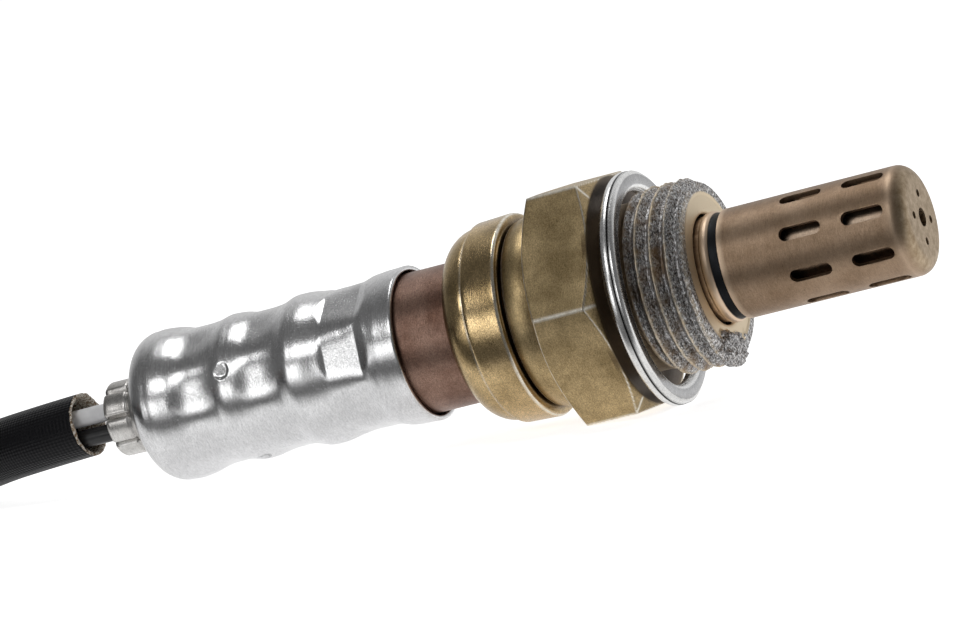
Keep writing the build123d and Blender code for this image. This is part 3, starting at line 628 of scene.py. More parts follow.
def paste_metal_and_root_shade(n, colour):
    """Grey-flecked paste over roots darkened as painted shade, with bright metal where it's rubbed off."""
    bare, pasted, height = n.tone()
    grit = n.noise((10.0, 3.6, 3.6), 3, 0.85)
    streak = n.noise((1.4, 3.0, 3.0), 3, 0.7)
    flecks = [(0.40, (0.05, 0.048, 0.048)), (0.49, (0.36, 0.355, 0.355))]
    flecks += [(0.53, (0.50, 0.49, 0.49)), (0.60, 1)]
    # Painted shade: dark brown in the thread's roots, rising to a brighter copy of the metal on the crests.
    roots = n.mix(height, (0.15, 0.105, 0.07), n.tinted(colour, (1.6, 1.45, 1.3)))
    cover = n.times(pasted, n.ramp(streak, [(0.35, 0.55), (0.55, 1.1)]))
    coated = n.mix(cover, roots, n.ramp(grit, flecks))
    rubbed = n.times(bare, n.ramp(streak, [(0.3, 1), (0.7, 0.3)]))
    return n.mix(rubbed, coated, (0.80, 0.68, 0.50))


def build_thread(sizes):
    """Thread with its relief, front chamfer, and bare front face with a little paste on it."""
    pitch = sizes.thread_pitch / MM
    stations = [(0, RELIEF_RADIUS), (1.2, RELIEF_RADIUS), (THREAD_START, RELIEF_RADIUS + 0.02)]
    stations += [(x, 8.6) for x in steps(THREAD_START + 0.06, SHELL_FRONT - 0.04, 104)]
    stations += edge(SHELL_FRONT, 0, [(0, 8.25), (0, 7.9), (0, 7.5), (-0.01, 7.27)])
    stations += [(SHELL_FRONT - 0.08, r) for r in steps(7.2, 5.7, 10)]
    stations += edge(SHELL_FRONT, 0, [(-0.1, 5.5), (-0.18, 5.36), (-0.4, 5.32)])
    thread = lathe("shell_thread", stations, 256)
    reshape(thread, thread_radius, pitch)
    for vertex in thread.data.vertices:
        v = vertex.co
        if v.x > SHELL_FRONT - 0.6:
            v.x += min(0.6, lump_at(hypot(v.y, v.z), clock_of(v)))
    paint(thread, thread_tone, pitch)
    pasted = grained_metal(
        "pasted_thread", (0.18, 0.135, 0.09), (0.34, 0.27, 0.18), rough=0.52, grain=0.9,
        painted=paste_metal_and_root_shade,
    )
    finish_piece(thread, pasted, (), 70)


# ---- Gasket ----
def gasket_tone(x, r, clock, outer, half):
    """Green: painted shade in the seam's slit. Blue: duller front face."""
    slit = 1.0 if abs(x - GASKET_SEAM + 0.015) < 0.125 and r > outer - 0.6 else 0.0
    return (0.0, slit, 1.0 if x > half - 0.02 else 0.0)


def steel_with_painted_seam_shade(n, colour):
    """Painted shade in black in the seam's slit, and the front face duller."""
    slit, face = n.tone()[1:]
    colour = n.mix(face, colour, n.tinted(colour, (0.46, 0.46, 0.47)))
    # Painted shade: the seam's slit near black.
    return n.mix(slit, colour, (0.01, 0.01, 0.01))


def build_gasket(sizes, colours):
    """Folded ring: rounded section, with the fold's seam as a slit on the rim."""
    outer, half = sizes.gasket_radius / MM, sizes.gasket_thickness / MM / 2
    bend, middle = GASKET_BEND, (GASKET_INNER + outer) / 2
    section = arc(bend - half, outer - bend, -bend, bend, 90, 0, 8)
    section += edge(GASKET_SEAM, outer, [(-0.2, 0), (-0.13, -0.05), (-0.1, -SEAM_DEPTH)])
    section += edge(GASKET_SEAM, outer, [(0.07, -SEAM_DEPTH), (0.1, -0.12), (0.17, -0.05)])
    section += arc(half - bend, outer - bend - 0.05, bend, bend, 0, 90, 8)
    section += [(half, middle)]
    section += arc(0, GASKET_INNER + 0.6, half, 0.6, 90, 270, 12)
    section += [(-half, middle), section[0]]
    ring = lathe("gasket_ring", section, 200, closed=True)
    paint(ring, gasket_tone, outer, half)
    lean = Matrix.Rotation(sizes.gasket_tilt, 4, "Z")
    ring.data.transform(Matrix.Translation((GASKET_MIDDLE, 0, -GASKET_DROP)) @ lean)
    bright = grained_metal(
        "bright_sheet_steel", (0.88, 0.88, 0.88), tuple(colours.gasket), rough=0.27, grain=0.12,
        spots=0.15, painted=steel_with_painted_seam_shade,
    )
    finish_piece(ring, bright, ["crush_gasket"], 50)


# ---- Protection tube ----
def tip_tone(x, r, clock):
    """Red: bead, step edge and shoulder painted pale as a painted highlight. Green: painted shade and soot on
    the narrow neck between the bead and the tube. Blue: greyer end face.
    """
    # Red paints highlights on the bead, the step's edge and the shoulder; green paints shade and soot on the
    # neck.
    bead = 1.0 if BEAD_START - 0.02 < x < BEAD_END - 0.04 and r > 5.0 else 0.0
    black = 1.0 if BEAD_END - 0.02 < x < TUBE_START - 0.02 else 0.0
    face = clamp((x - TIP_END + 1.1) / 0.8)
    rim = 0.7 * near(x - TUBE_START - 0.05, 0.12)
    shoulder = 0.35 * near(x - TIP_END + 1.3, 0.6)
    return (max(bead, rim, shoulder), black, face)


def heat_tint_and_painted_light(n, colour):
    """Painted highlights on the bead and edges, painted shade and soot in a black band, and an end face worn
    to bronze and straw.
    """
    painted_highlight, black, face = n.tone()
    worn = n.ramp(n.noise(1.3, 4, 0.75), [(0.35, (0.31, 0.225, 0.135)), (0.65, (0.52, 0.41, 0.285))])
    colour = n.mix(face, colour, worn)
    # Painted highlight: the bead, the step's edge and the shoulder painted pale.
    colour = n.mix(painted_highlight, colour, (0.80, 0.62, 0.46))
    # Painted shade and soot: the neck between the bead and the tube near black.
    return n.mix(black, colour, (0.022, 0.024, 0.027))


def cylinder(radius, depth, **place):
    """A plain cylinder to cut with."""
    bpy.ops.mesh.primitive_cylinder_add(vertices=32, radius=radius, depth=depth, location=(0, 0, 0), **place)
    return bpy.context.object


def slot_cutters(length, width):
    """Round-ended bars for the slots and pins for the end holes, in one mesh."""
    take()
    made = []
    for row in SLOT_ROWS:
        for k in range(SLOT_COUNT):
            bar = cylinder(width / 2, 6)
            for vertex in bar.data.vertices:
                vertex.co.x += (length - width) / 2 * (1 if vertex.co.x > 1e-5 else -1)
            turn = Matrix.Rotation(radians(SLOT_CLOCK + 360 / SLOT_COUNT * k) - pi / 2, 4, "X")
            bar.data.transform(Matrix.Translation((0, 0, TIP_RADIUS)))
            bar.data.transform(Matrix.Translation((row, 0, 0)) @ turn)
            made.append(bar)
    holes = [(END_SMALL_HOLE, END_SMALL_CIRCLE, END_SMALL_CLOCK + 90 * k) for k in range(4)]
    for radius, reach, clock in [*holes, (END_HOLE, 0, 0)]:
        pin = cylinder(radius, 3, rotation=(0, pi / 2, 0))
        bpy.ops.object.transform_apply(location=True, rotation=True, scale=True)
        a = radians(clock)
        pin.data.transform(Matrix.Translation((TIP_END, -reach * cos(a), reach * sin(a))))
        made.append(pin)
    take(*made)
    bpy.ops.object.join()
    return bpy.context.object


def build_tip(sizes, colours):
    """Slotted tube with its weld bead, a groove darkened by painted shade and soot, rounded shoulder and
    pierced end.
    """
    back, bore = SHELL_FRONT - 0.4, TIP_RADIUS - TIP_WALL
    outer = [(back, BEAD_ROOT)]
    outer += edge(BEAD_START, BEAD_ROOT, [(0, 0), (0.08, 0.11), (0.18, 0.21), (0.33, 0.25)])
    outer += edge(BEAD_END, BEAD_ROOT, [(-0.32, 0.25), (-0.17, 0.2), (-0.06, 0.1), (0, 0)])
    outer += edge(TUBE_START, BEAD_ROOT, [(-0.6, -0.02), (-0.3, 0), (-0.04, 0.02)])
    outer += edge(TUBE_START, TIP_RADIUS, [(0, -0.04), (0.05, 0)])
    outer += [(x, TIP_RADIUS) for x in steps(TUBE_START + 0.7, TIP_END - TIP_ROUND - 0.2, 24)]
    outer += arc(TIP_END - TIP_ROUND, TIP_RADIUS - TIP_ROUND, TIP_ROUND, TIP_ROUND, 6, 90, 16)
    outer += [(TIP_END, r) for r in (3.3, 2.4, 1.4, 0.2)]
    inner = [(TIP_END - TIP_WALL, 0.2), (TIP_END - TIP_WALL, bore - 1.35)]
    inner += [(TIP_END - 1.1, bore - 0.35), (TIP_END - 2.0, bore - 0.03)]
    inner += [(20.0, bore), (12.0, bore), (back, bore), (back, BEAD_ROOT)]
    tube = lathe("slotted_tip", outer + inner, 192, closed=True)
    cutter = slot_cutters(sizes.slot_length / MM, sizes.slot_width / MM)
    apply_modifier(tube, "BOOLEAN", operation="DIFFERENCE", solver="EXACT", object=cutter)
    bpy.data.objects.remove(cutter)
    apply_modifier(tube, "BEVEL", width=0.07, segments=2, limit_method="ANGLE", angle_limit=radians(50))
    paint(tube, tip_tone)
    bronze = grained_metal(
        "bronze_tinted_steel", (0.265, 0.18, 0.115), tuple(colours.tip), rough=0.45, grain=0.35,
        spots=0.2, painted=heat_tint_and_painted_light,
    )
    finish_piece(tube, bronze, ["outer_protection_tube"], 35)


# ---- Rear tube ----
def build_rear_sleeve(colours):
    """Brown tube from under the shell's lip into the cover, its rear end turned in."""
    stations = [(LIP_REAR + 1.0, SLEEVE_RADIUS - 0.02), (LIP_REAR + 0.2, SLEEVE_RADIUS)]
    stations += [(x, SLEEVE_RADIUS) for x in steps(LIP_REAR - 0.2, SLEEVE_END + 0.3, 18)]
    stations += edge(SLEEVE_END, SLEEVE_RADIUS, [(0, -0.15), (-0.5, -0.6), (-4.0, -0.65)])
    sleeve = lathe("rear_tube", stations, 160)
    brown = grained_metal(
        "copper_brown_steel", (0.18, 0.10, 0.072), tuple(colours.rear_tube), rough=0.40, grain=0.9,
        spots=0.15, speckle=0.3,
    )
    finish_piece(sleeve, brown, ["rear_sleeve"], 40)


# ---- Cover ----
def jaw_face(away):
    """How far a jaw's face stands out from its deepest line, away millimetres towards the tip."""
    behind = max(0.0, -away - JAW_SHARP[0]) / JAW_SHARP[1]
    ahead = max(0.0, away - JAW_SOFT[0]) / JAW_SOFT[1]
    return JAW_RISE * (behind**2 + ahead**2)


def stake_at(x, clock, depth):
    """Depth of the small round stakes on the middle bulge, their floors tipped to the front."""
    sector = 360 / STAKES
    off = radians(((clock - STAKE_CLOCK + sector / 2) % sector) - sector / 2) * STAKE_CIRCLE
    along = x - (COVER_FRONT - STAKE_CENTRE)
    wall = clamp((STAKE_RADIUS - hypot(along, off)) / 0.12)
    lean = STAKE_LEAN[1] * off + STAKE_LEAN[0] * along
    return wall * (depth + lean - off * off / (2 * STAKE_CIRCLE))


def cover_radius(x, r, clock, jaw_flat, stake):
    """Bulged side squeezed by straight-faced jaws in two valleys and on the band."""
    if x < DOME_START - 0.4 or r < 0.93 * between(COVER_SIDE, x):
        return r
    sector = 360 / JAWS
    off = radians(((clock - JAW_CLOCK + sector / 2) % sector) - sector / 2)
    a = radians(clock)
    wobble = 0.03 * noise.noise(Vector((x * 0.25, r * sin(a) * 0.3, r * cos(a) * 0.3)))
    radius = r + wobble - stake_at(x, clock, stake)
    for centre in CRIMP_CENTRES:
        away = x - (COVER_FRONT - centre)
        ridge = max(0.0, 1 - (away / JAW_CORNER_REACH) ** 2)
        corner = JAW_CORNER * (1 - cos(JAWS * off)) / 2 * ridge
        radius = soft_min(radius, jaw_flat + jaw_face(away) + corner, JAW_ROUND)
    front, rear = COVER_FRONT - BAND[0], COVER_FRONT - BAND[1]
    beyond = max(x - front, rear - x, 0.0)
    return soft_min(radius, (BAND_FLAT + beyond * BAND_SLOPE) / cos(off), BAND_ROUND)


def build_cover(sizes, colours):
    """Crimped cover: open flared rim, band, three bulges, domed end with its opening."""
    inside = [(-6.5, -1.3), (-4.2, -1.3), (-2.6, -0.75), (-1.2, -0.55), (-0.08, -0.48)]
    rim = [(0, -0.4), (0.02, -0.2), (-0.05, -0.05), (-0.16, -0.01)]
    stations = edge(COVER_FRONT, COVER_RADIUS, inside + rim)
    stations += [(x, between(COVER_SIDE, x)) for x in steps(COVER_FRONT - 0.3, DOME_START - 0.2, 216)]
    stations += arc(DOME_START, DOME_BASE, -DOME_LENGTH, DOME_HEIGHT, 14, 84, 14)
    step_down = [(0.78, 1.99), (0.73, 1.93), (0.76, 1.85), (0.75, 1.75), (0.58, 1.35), (0.2, 0.65)]
    stations += edge(COVER_REAR, COVER_OPENING, step_down + [(0, 0), (COVER_WALL, -0.02)])
    cover = lathe("crimped_cover", stations, 272)
    reshape(cover, cover_radius, sizes.crimp_radius / MM, sizes.stake_depth / MM)
    silver = grained_metal(
        "satin_silver", (0.66, 0.66, 0.665), tuple(colours.cover), rough=0.24, grain=0.42, spots=0.05
    )
    finish_piece(cover, silver, ["outer_cover"], 60)


# ---- Ferrule ----
def ferrule_radius(x, r, clock):
    """Crimped lobes, no two alike, with narrow clefts between them."""
    if x > LOBE_START or r < 2.9:
        return r
    sector = 360 / LOBES
    turn = (clock - LOBE_CLOCK) % 360
    off = abs((turn % sector) - sector / 2)
    cleft = CLEFT_DEPTH * near(sector / 2 - off, CLEFT_WIDTH) ** 1.5
    swell = 0.12 * noise.noise(Vector((int(turn / sector) * 1.7, x * 0.4, 0.3)))
    return r - cleft + 0.08 * (1 - (off / (sector / 2)) ** 2) + swell


def build_ferrule(colours):
    """Collar behind the cover, then lobes crimped round the wires, with a turned-in end."""
    stations = [(COVER_REAR + 0.8, FERRULE_RADIUS), (COVER_REAR, FERRULE_RADIUS + 0.02)]
    stations += edge(LOBE_START, FERRULE_RADIUS, [(0.25, 0), (0.12, -0.12), (0, -0.14), (-0.1, 0)])
    stations += [(x, FERRULE_RADIUS + 0.06) for x in steps(LOBE_START - 0.25, FERRULE_END + 0.35, 14)]
    stations += edge(FERRULE_END, FERRULE_RADIUS, [(0.2, 0), (0.08, -0.1), (0, -0.3), (0, -0.65)])
    stations += edge(FERRULE_END, FERRULE_RADIUS, [(0.05, -0.8), (0.3, -0.9), (1.2, -0.92)])
    ferrule = lathe("lobed_ferrule", stations, 192)
    reshape(ferrule, ferrule_radius)
    grey = grained_metal(
        "ferrule_satin", (0.40, 0.38, 0.36), tuple(colours.ferrule), rough=0.30, grain=0.3, spots=0.3
    )
    finish_piece(ferrule, grey, ["crimp_ferrule"], 50)


# ---- Wires and the sleeve's mouth ----
def build_wires(sizes, colours):
    """Four insulated wires from the grommet into the sleeve's mouth."""
    radius = sizes.wire_radius / MM
    for k, (node, finish, slot) in enumerate(WIRES):
        wire = lathe(node + "_core", [(x, radius) for x in steps(*WIRE_ENDS, 10)], 40)
        a = radians(WIRE_CLOCK + 90 * k)
        wire.data.transform(Matrix.Translation((0, -WIRE_CIRCLE * cos(a), WIRE_CIRCLE * sin(a))))
        finish_piece(wire, plastic(finish, tuple(getattr(colours, node))), [node], 60)


def frayed_lining(pale):
    """Matt fibres, pale on the strands, with painted shade between them where the relief is lowest."""
    n = Nodes("frayed_lining")
    strands = n.noise(3.5, 3, 0.7)
    # Painted shade: near black between the strands, following the relief's hollows.
    colour = n.ramp(strands, [(0.32, (0.03, 0.02, 0.014)), (0.44, (0.36, 0.24, 0.14)), (0.55, pale)])
    return n.done(colour, 0.8, n.bump(strands, 0.6, 0.1), 0.0)


def build_lining(colours):
    """Frayed lining that shows round the sleeve's mouth."""
    stations = [(0.0, 3.16), (0.14, 3.1), (0.16, 2.95), (0.05, 2.8), (-0.5, 2.74), (-3.0, 2.72)]
    lining = lathe("mouth_lining", stations, 96)
    for vertex in lining.data.vertices:
        v = vertex.co
        if v.x > -0.6:
            v.x += 0.22 * noise.noise(Vector((v.y * 1.9, v.z * 1.9, 4.0)))
            v.yz = v.yz * (1 + 0.03 * noise.noise(Vector((v.y * 2.5, v.z * 2.5, 9.0))))
    way = (Vector(MOUTH) - Vector(LEAD_ROUTE[0])).normalized()
    turn = way.to_track_quat("X", "Z").to_matrix().to_4x4()
    lining.data.transform(Matrix.Translation(MOUTH) @ turn @ Matrix.Scale(MM, 4))
    finish_piece(lining, frayed_lining(tuple(colours.lining)), (), 60, lay=False)


# ---- Harness ----
def harness_points():
    """Control points of the braided sleeve, from its mouth to the connector's boot."""
    x, y = COIL_TOP[0], COIL_TOP[1] - COIL_RADIUS
    reach = COIL_RADIUS / cos(pi / COIL_POINTS) ** 0.5
    turn = []
    for k in range(COIL_POINTS + 1):
        angle = pi / 2 + 2 * pi * k / COIL_POINTS
        z = COIL_FLOOR + COIL_LIFT * eased(clamp((k - COIL_POINTS + LIFT_START) / LIFT_LENGTH))
        turn.append((x + reach * cos(angle), y + reach * sin(angle), z))
    return [MOUTH, *LEAD_ROUTE, *turn, *TAIL_ROUTE, CONNECTOR_AT]


def cord_curve(name, points, radius):
    """A round cord along a spline that starts and ends at its first and last points."""
    curve = bpy.data.curves.new(name, "CURVE")
    curve.dimensions = "3D"
    spline = curve.splines.new("NURBS")
    spline.points.add(len(points) - 1)
    for point, place in zip(spline.points, points):
        point.co = (*place, 1)
    spline.order_u = 3
    spline.use_endpoint_u = True
    curve.resolution_u = 12
    curve.bevel_depth = radius
    curve.bevel_resolution = 7
    obj = bpy.data.objects.new(name, curve)
    bpy.context.scene.collection.objects.link(obj)
    return obj


def black_braid(colour):
    """Crossed strands in relief, along the cord's own UV map."""
    n = Nodes("black_braid")
    mapping = n.add("ShaderNodeMapping", {"Scale": (900, 60, 1)})
    n.link(n.coord.outputs["UV"], mapping.inputs["Vector"])
    u, v = n.apart(mapping.outputs["Vector"])[:2]
    one_way = n.math("SINE", n.times(n.math("ADD", u, v), pi), 0.0)
    other_way = n.math("SINE", n.times(n.math("SUBTRACT", u, v), pi), 0.0)
    fuzz = n.noise(6, 3, 0.7)
    shade = n.ramp(fuzz, [(0.35, (0.003, 0.003, 0.004)), (0.72, colour)])
    normal = n.bump(n.times(one_way, other_way), 0.35, 0.08)
    normal = n.bump(fuzz, 0.3, 0.05, normal)
    return n.done(shade, 0.38, normal, 0.0, Specular_IOR_Level=0.14)


def build_harness(colours):
    """Braided sleeve with its coil, as a round curve from the mouth to the connector's boot."""
    cord = cord_curve("braided_sleeve", harness_points(), HARNESS_RADIUS * MM)
    cord.data.materials.append(black_braid(tuple(colours.braid)))
    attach(cord, "root")
    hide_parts("harness_sleeve", "harness_coil", "harness_tail")


# ---- Nodes shown as they are ----
def dress_nodes(colours):
    """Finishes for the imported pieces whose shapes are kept."""
    rubber = plastic("matt_rubber", (0.03, 0.03, 0.032), 0.6)
    housing = plastic("moulded_black", tuple(colours.connector), 0.45)
    seal = plastic("silicone_seal", tuple(colours.seal), 0.5)
    ceramic = plastic("white_ceramic", (0.78, 0.77, 0.72), 0.5)
    steel = grained_metal("plain_steel", (0.32, 0.30, 0.28), (0.48, 0.46, 0.43), rough=0.35)
    tinted = grained_metal("tinted_inner_steel", (0.24, 0.17, 0.12), (0.36, 0.28, 0.21), rough=0.35)
    brass = grained_metal("contact_brass", (0.62, 0.45, 0.20), (0.75, 0.58, 0.30), rough=0.3)
    finishes = {
        "connector_boot": rubber, "grommet": rubber, "connector_housing": housing, "connector_lock": housing,
        "nose_seal": seal, "sensing_element": ceramic, "lower_insulator": ceramic, "upper_insulator": ceramic,
        "talc_seal": ceramic, "contact_carrier": ceramic, "disc_spring": steel, "carrier_clip": steel,
        "inner_protection_tube": tinted, "connector_terminals": brass,
    }
    finishes.update({name: brass for name in frame["nodes"] if name.startswith("contact_spring")})
    for name, finish in finishes.items():
        node = frame["nodes"][name]
        node.data.materials.clear()
        node.data.materials.append(finish)


# ---- Stage ----
def pale_floor():
    """White to the camera; to the metal, painted reflections: a pale glow behind the part and in one patch
    ahead, else a darker shade.
    """
    n = Nodes("pale_floor")
    n.tree.nodes.remove(n.shader)
    seen_by = n.add("ShaderNodeLightPath").outputs
    x, y = n.apart(n.coord.outputs["Object"])[:2]
    behind = n.fade(y, *PALE_BEHIND)
    ahead = n.times(n.fade(y, *PALE_AHEAD), n.fade(x, *PALE_AHEAD_SIDE))
    plain = n.math("MAXIMUM", seen_by["Is Camera Ray"], seen_by["Is Transmission Ray"])
    glossy = seen_by["Is Glossy Ray"]
    # Painted reflection: glow that only glossy rays see.
    reflected_glow = n.math("ADD", n.times(behind, REFLECTION_GLOW), n.times(ahead, REFLECTION_GLOW))
    # Painted reflection: the floor darkened for glossy rays outside the pale patches.
    dim = n.times(glossy, n.math("SUBTRACT", 1.0, n.math("MAXIMUM", behind, ahead)))
    diffuse = n.add("ShaderNodeBsdfDiffuse")
    n.link(n.mix(dim, FLOOR_COLOUR, REFLECTED_FLOOR_SHADE), diffuse.inputs["Color"])
    glow = n.add("ShaderNodeEmission")
    n.link(n.math("ADD", n.times(plain, FLOOR_GLOW), n.times(glossy, reflected_glow)), glow.inputs["Strength"])
    both = n.add("ShaderNodeAddShader")
    n.link(diffuse.outputs[0], both.inputs[0])
    n.link(glow.outputs[0], both.inputs[1])
    n.link(both.outputs[0], n.tree.nodes["Material Output"].inputs["Surface"])
    return n.material


def build_world():
    """White where the camera looks; for the metal, pale behind the part and dim on the camera's side."""
    world = bpy.data.worlds.new("studio")
    bpy.context.scene.world = world
    world.use_nodes = True
    tree = world.node_tree
    tree.nodes.clear()
    coord = tree.nodes.new("ShaderNodeTexCoord")
    split = tree.nodes.new("ShaderNodeSeparateXYZ")
    ramp = tree.nodes.new("ShaderNodeMapRange")
    for limit, value in (("From Min", 0.05), ("From Max", 0.75), ("To Min", 0.17), ("To Max", 0.9)):
        ramp.inputs[limit].default_value = value
    path = tree.nodes.new("ShaderNodeLightPath")
    choose = tree.nodes.new("ShaderNodeMix")
    choose.inputs["B"].default_value = 1.0
    back = tree.nodes.new("ShaderNodeBackground")
    out = tree.nodes.new("ShaderNodeOutputWorld")
    link = tree.links.new
    link(coord.outputs["Generated"], split.inputs["Vector"])
    link(split.outputs["Y"], ramp.inputs["Value"])
    link(ramp.outputs["Result"], choose.inputs["A"])
    link(path.outputs["Is Camera Ray"], choose.inputs["Factor"])
    link(choose.outputs["Result"], back.inputs["Strength"])
    link(back.outputs["Background"], out.inputs["Surface"])


def softbox(name, direction, size, power):
    """Area light that faces the part, its first side as near to the X axis as it goes."""
    out = Vector(direction).normalized()
    side = (Vector((1, 0, 0)) - out * out.x).normalized()
    turn = Matrix((side, out.cross(side), out)).transposed()
    light = bpy.data.lights.new(name, "AREA")
    light.shape = "RECTANGLE"
    light.size, light.size_y = size
    light.energy = power
    obj = bpy.data.objects.new(name, light)
    obj.location = Vector(LIGHT_AIM) + out * LIGHT_DISTANCE
    obj.rotation_euler = turn.to_euler()
    bpy.context.scene.collection.objects.link(obj)


def place_camera():
    """Camera at its angles and distance from the point it aims at, rolled with the view."""
    camera_data = bpy.data.cameras.new("camera")
    camera_data.lens = CAMERA_LENS
    camera_data.sensor_width = 36
    camera_data.clip_start = 0.01
    camera = bpy.data.objects.new("camera", camera_data)
    a, e = radians(CAMERA_AZIMUTH), radians(CAMERA_ELEVATION)
    back = Vector((sin(a) * cos(e), -cos(a) * cos(e), sin(e)))
    camera.location = Vector(CAMERA_AIM) + back * CAMERA_DISTANCE
    camera.rotation_mode = "QUATERNION"
    camera.rotation_quaternion = back.to_track_quat("Z", "Y") @ Quaternion((0, 0, 1), radians(CAMERA_ROLL))
    bpy.context.scene.collection.objects.link(camera)
    bpy.context.scene.camera = camera


def build_stage(lights):
    """Floor, world, three softboxes and the camera."""
    take()
    bpy.ops.mesh.primitive_plane_add(size=400, location=(0, 0, 0))
    floor = bpy.context.object
    floor.name = "floor"
    floor.data.materials.append(pale_floor())
    build_world()
    softbox("top_softbox", (-0.165, 0.17, 0.97), (0.19, 0.36), lights.top_power)
    softbox("front_softbox", (-0.25, -0.78, 0.55), (0.30, 0.20), lights.front_power)
    softbox("side_softbox", (-0.42, -0.90, 0.10), (0.30, 0.18), lights.side_power)
    place_camera()
    bpy.context.scene.view_settings.view_transform = "Standard"


# ---- Settings ----
class SensorSizes(bpy.types.PropertyGroup):
    """Sizes of the pieces, in metres and radians"""
    thread_pitch: FloatProperty(
        name="Thread pitch", description="Distance from one crest to the next",
        default=1.5 * MM, min=0.5 * MM, max=3 * MM, precision=5, unit="LENGTH",
    )
    gasket_radius: FloatProperty(
        name="Gasket radius", description="Outer radius of the folded gasket",
        default=11.3 * MM, min=10.5 * MM, max=14 * MM, precision=5, unit="LENGTH",
    )
    gasket_thickness: FloatProperty(
        name="Gasket thickness", description="Thickness of the uncrushed gasket",
        default=1.5 * MM, min=1.2 * MM, max=2.5 * MM, precision=5, unit="LENGTH",
    )
    gasket_tilt: FloatProperty(
        name="Gasket tilt", description="How far the loose gasket turns about the upright",
        default=radians(1.2), min=radians(-3), max=radians(3), subtype="ANGLE", unit="ROTATION",
    )
    slot_length: FloatProperty(
        name="Slot length", description="Length of the protection tube's slots along the axis",
        default=4.15 * MM, min=1.5 * MM, max=5.5 * MM, precision=5, unit="LENGTH",
    )
    slot_width: FloatProperty(
        name="Slot width", description="Width of the protection tube's slots",
        default=1.3 * MM, min=0.4 * MM, max=2.5 * MM, precision=5, unit="LENGTH",
    )
    crimp_radius: FloatProperty(
        name="Crimp radius", description="From the axis to the deepest line of the cover's two crimps",
        default=6.74 * MM, min=6.4 * MM, max=7.2 * MM, precision=5, unit="LENGTH",
    )
    stake_depth: FloatProperty(
        name="Stake depth", description="Depth of the four round stakes on the cover",
        default=0.16 * MM, min=0.0, max=0.5 * MM, precision=5, unit="LENGTH",
    )
    wire_radius: FloatProperty(
        name="Wire radius", description="Radius of the insulation of each wire",
        default=0.875 * MM, min=0.4 * MM, max=1.0 * MM, precision=5, unit="LENGTH",
    )


class SensorColours(bpy.types.PropertyGroup):
    """Colours of the finishes, the paler of the two where a metal has a cloudy tint"""
    plating: FloatVectorProperty(
        name="Shell", description="Olive gold plating of the hex, collar and lip",
        default=(0.55, 0.415, 0.225), min=0, max=1, size=3, subtype="COLOR",
    )
    gasket: FloatVectorProperty(
        name="Gasket", description="Bright sheet steel of the gasket",
        default=(0.97, 0.97, 0.96), min=0, max=1, size=3, subtype="COLOR",
    )
    tip: FloatVectorProperty(
        name="Tip", description="Bronze-tinted steel of the protection tube",
        default=(0.385, 0.275, 0.188), min=0, max=1, size=3, subtype="COLOR",
    )
    rear_tube: FloatVectorProperty(
        name="Rear tube", description="Copper-brown steel between the shell and the cover",
        default=(0.32, 0.205, 0.158), min=0, max=1, size=3, subtype="COLOR",
    )
    cover: FloatVectorProperty(
        name="Cover", description="Satin silver of the crimped cover",
        default=(0.76, 0.76, 0.765), min=0, max=1, size=3, subtype="COLOR",
    )
    ferrule: FloatVectorProperty(
        name="Ferrule", description="Grey satin metal of the lobed ferrule",
        default=(0.66, 0.65, 0.63), min=0, max=1, size=3, subtype="COLOR",
    )
    heater_wire_1: FloatVectorProperty(
        name="First heater wire", description="White insulation of the first heater wire",
        default=(0.86, 0.86, 0.87), min=0, max=1, size=3, subtype="COLOR",
    )
    heater_wire_2: FloatVectorProperty(
        name="Second heater wire", description="White insulation of the second heater wire",
        default=(0.80, 0.80, 0.80), min=0, max=1, size=3, subtype="COLOR",
    )
    ground_wire: FloatVectorProperty(
        name="Ground wire", description="Grey insulation of the ground wire",
        default=(0.33, 0.32, 0.32), min=0, max=1, size=3, subtype="COLOR",
    )
    signal_wire: FloatVectorProperty(
        name="Signal wire", description="Black insulation of the signal wire",
        default=(0.012, 0.012, 0.013), min=0, max=1, size=3, subtype="COLOR",
    )
    lining: FloatVectorProperty(
        name="Lining", description="Pale strands of the frayed lining",
        default=(0.86, 0.81, 0.72), min=0, max=1, size=3, subtype="COLOR",
    )
    braid: FloatVectorProperty(
        name="Braid", description="Strands of the braided sleeve",
        default=(0.012, 0.012, 0.014), min=0, max=1, size=3, subtype="COLOR",
    )
    connector: FloatVectorProperty(
        name="Connector", description="Moulded housing and lock of the connector",
        default=(0.035, 0.035, 0.038), min=0, max=1, size=3, subtype="COLOR",
    )
    seal: FloatVectorProperty(
        name="Seal", description="Silicone seal in the connector's nose",
        default=(0.32, 0.07, 0.03), min=0, max=1, size=3, subtype="COLOR",
    )


class StageLights(bpy.types.PropertyGroup):
    """Powers of the softboxes"""
    top_power: FloatProperty(
        name="Top light", description="Power of the softbox overhead",
        default=1.0, min=0.0, unit="POWER",
    )
    front_power: FloatProperty(
        name="Front light", description="Power of the softbox above the camera",
        default=0.6, min=0.0, unit="POWER",
    )
    side_power: FloatProperty(
        name="Side light", description="Power of the low softbox on the left",
        default=0.4, min=0.0, unit="POWER",
    )


# ---- Operators ----
class OXYGEN_OT_stage(bpy.types.Operator):
    """Lay out the floor, the lights and the camera"""
    bl_idname = "oxygen.stage"
    bl_label = "Stage"

    def execute(self, context):
        build_stage(context.scene.stage_lights)
        return {"FINISHED"}


class OXYGEN_OT_harness(bpy.types.Operator):
    """Run the braided sleeve round its coil to the connector"""
    bl_idname = "oxygen.harness"
    bl_label = "Harness"

    def execute(self, context):
        build_harness(context.scene.sensor_colours)
        return {"FINISHED"}


class OXYGEN_OT_shell(bpy.types.Operator):
    """Turn the hex, the neck, the collar and the lip"""
    bl_idname = "oxygen.shell"
    bl_label = "Shell"

    def execute(self, context):
        build_shell(context.scene.sensor_colours)
        return {"FINISHED"}


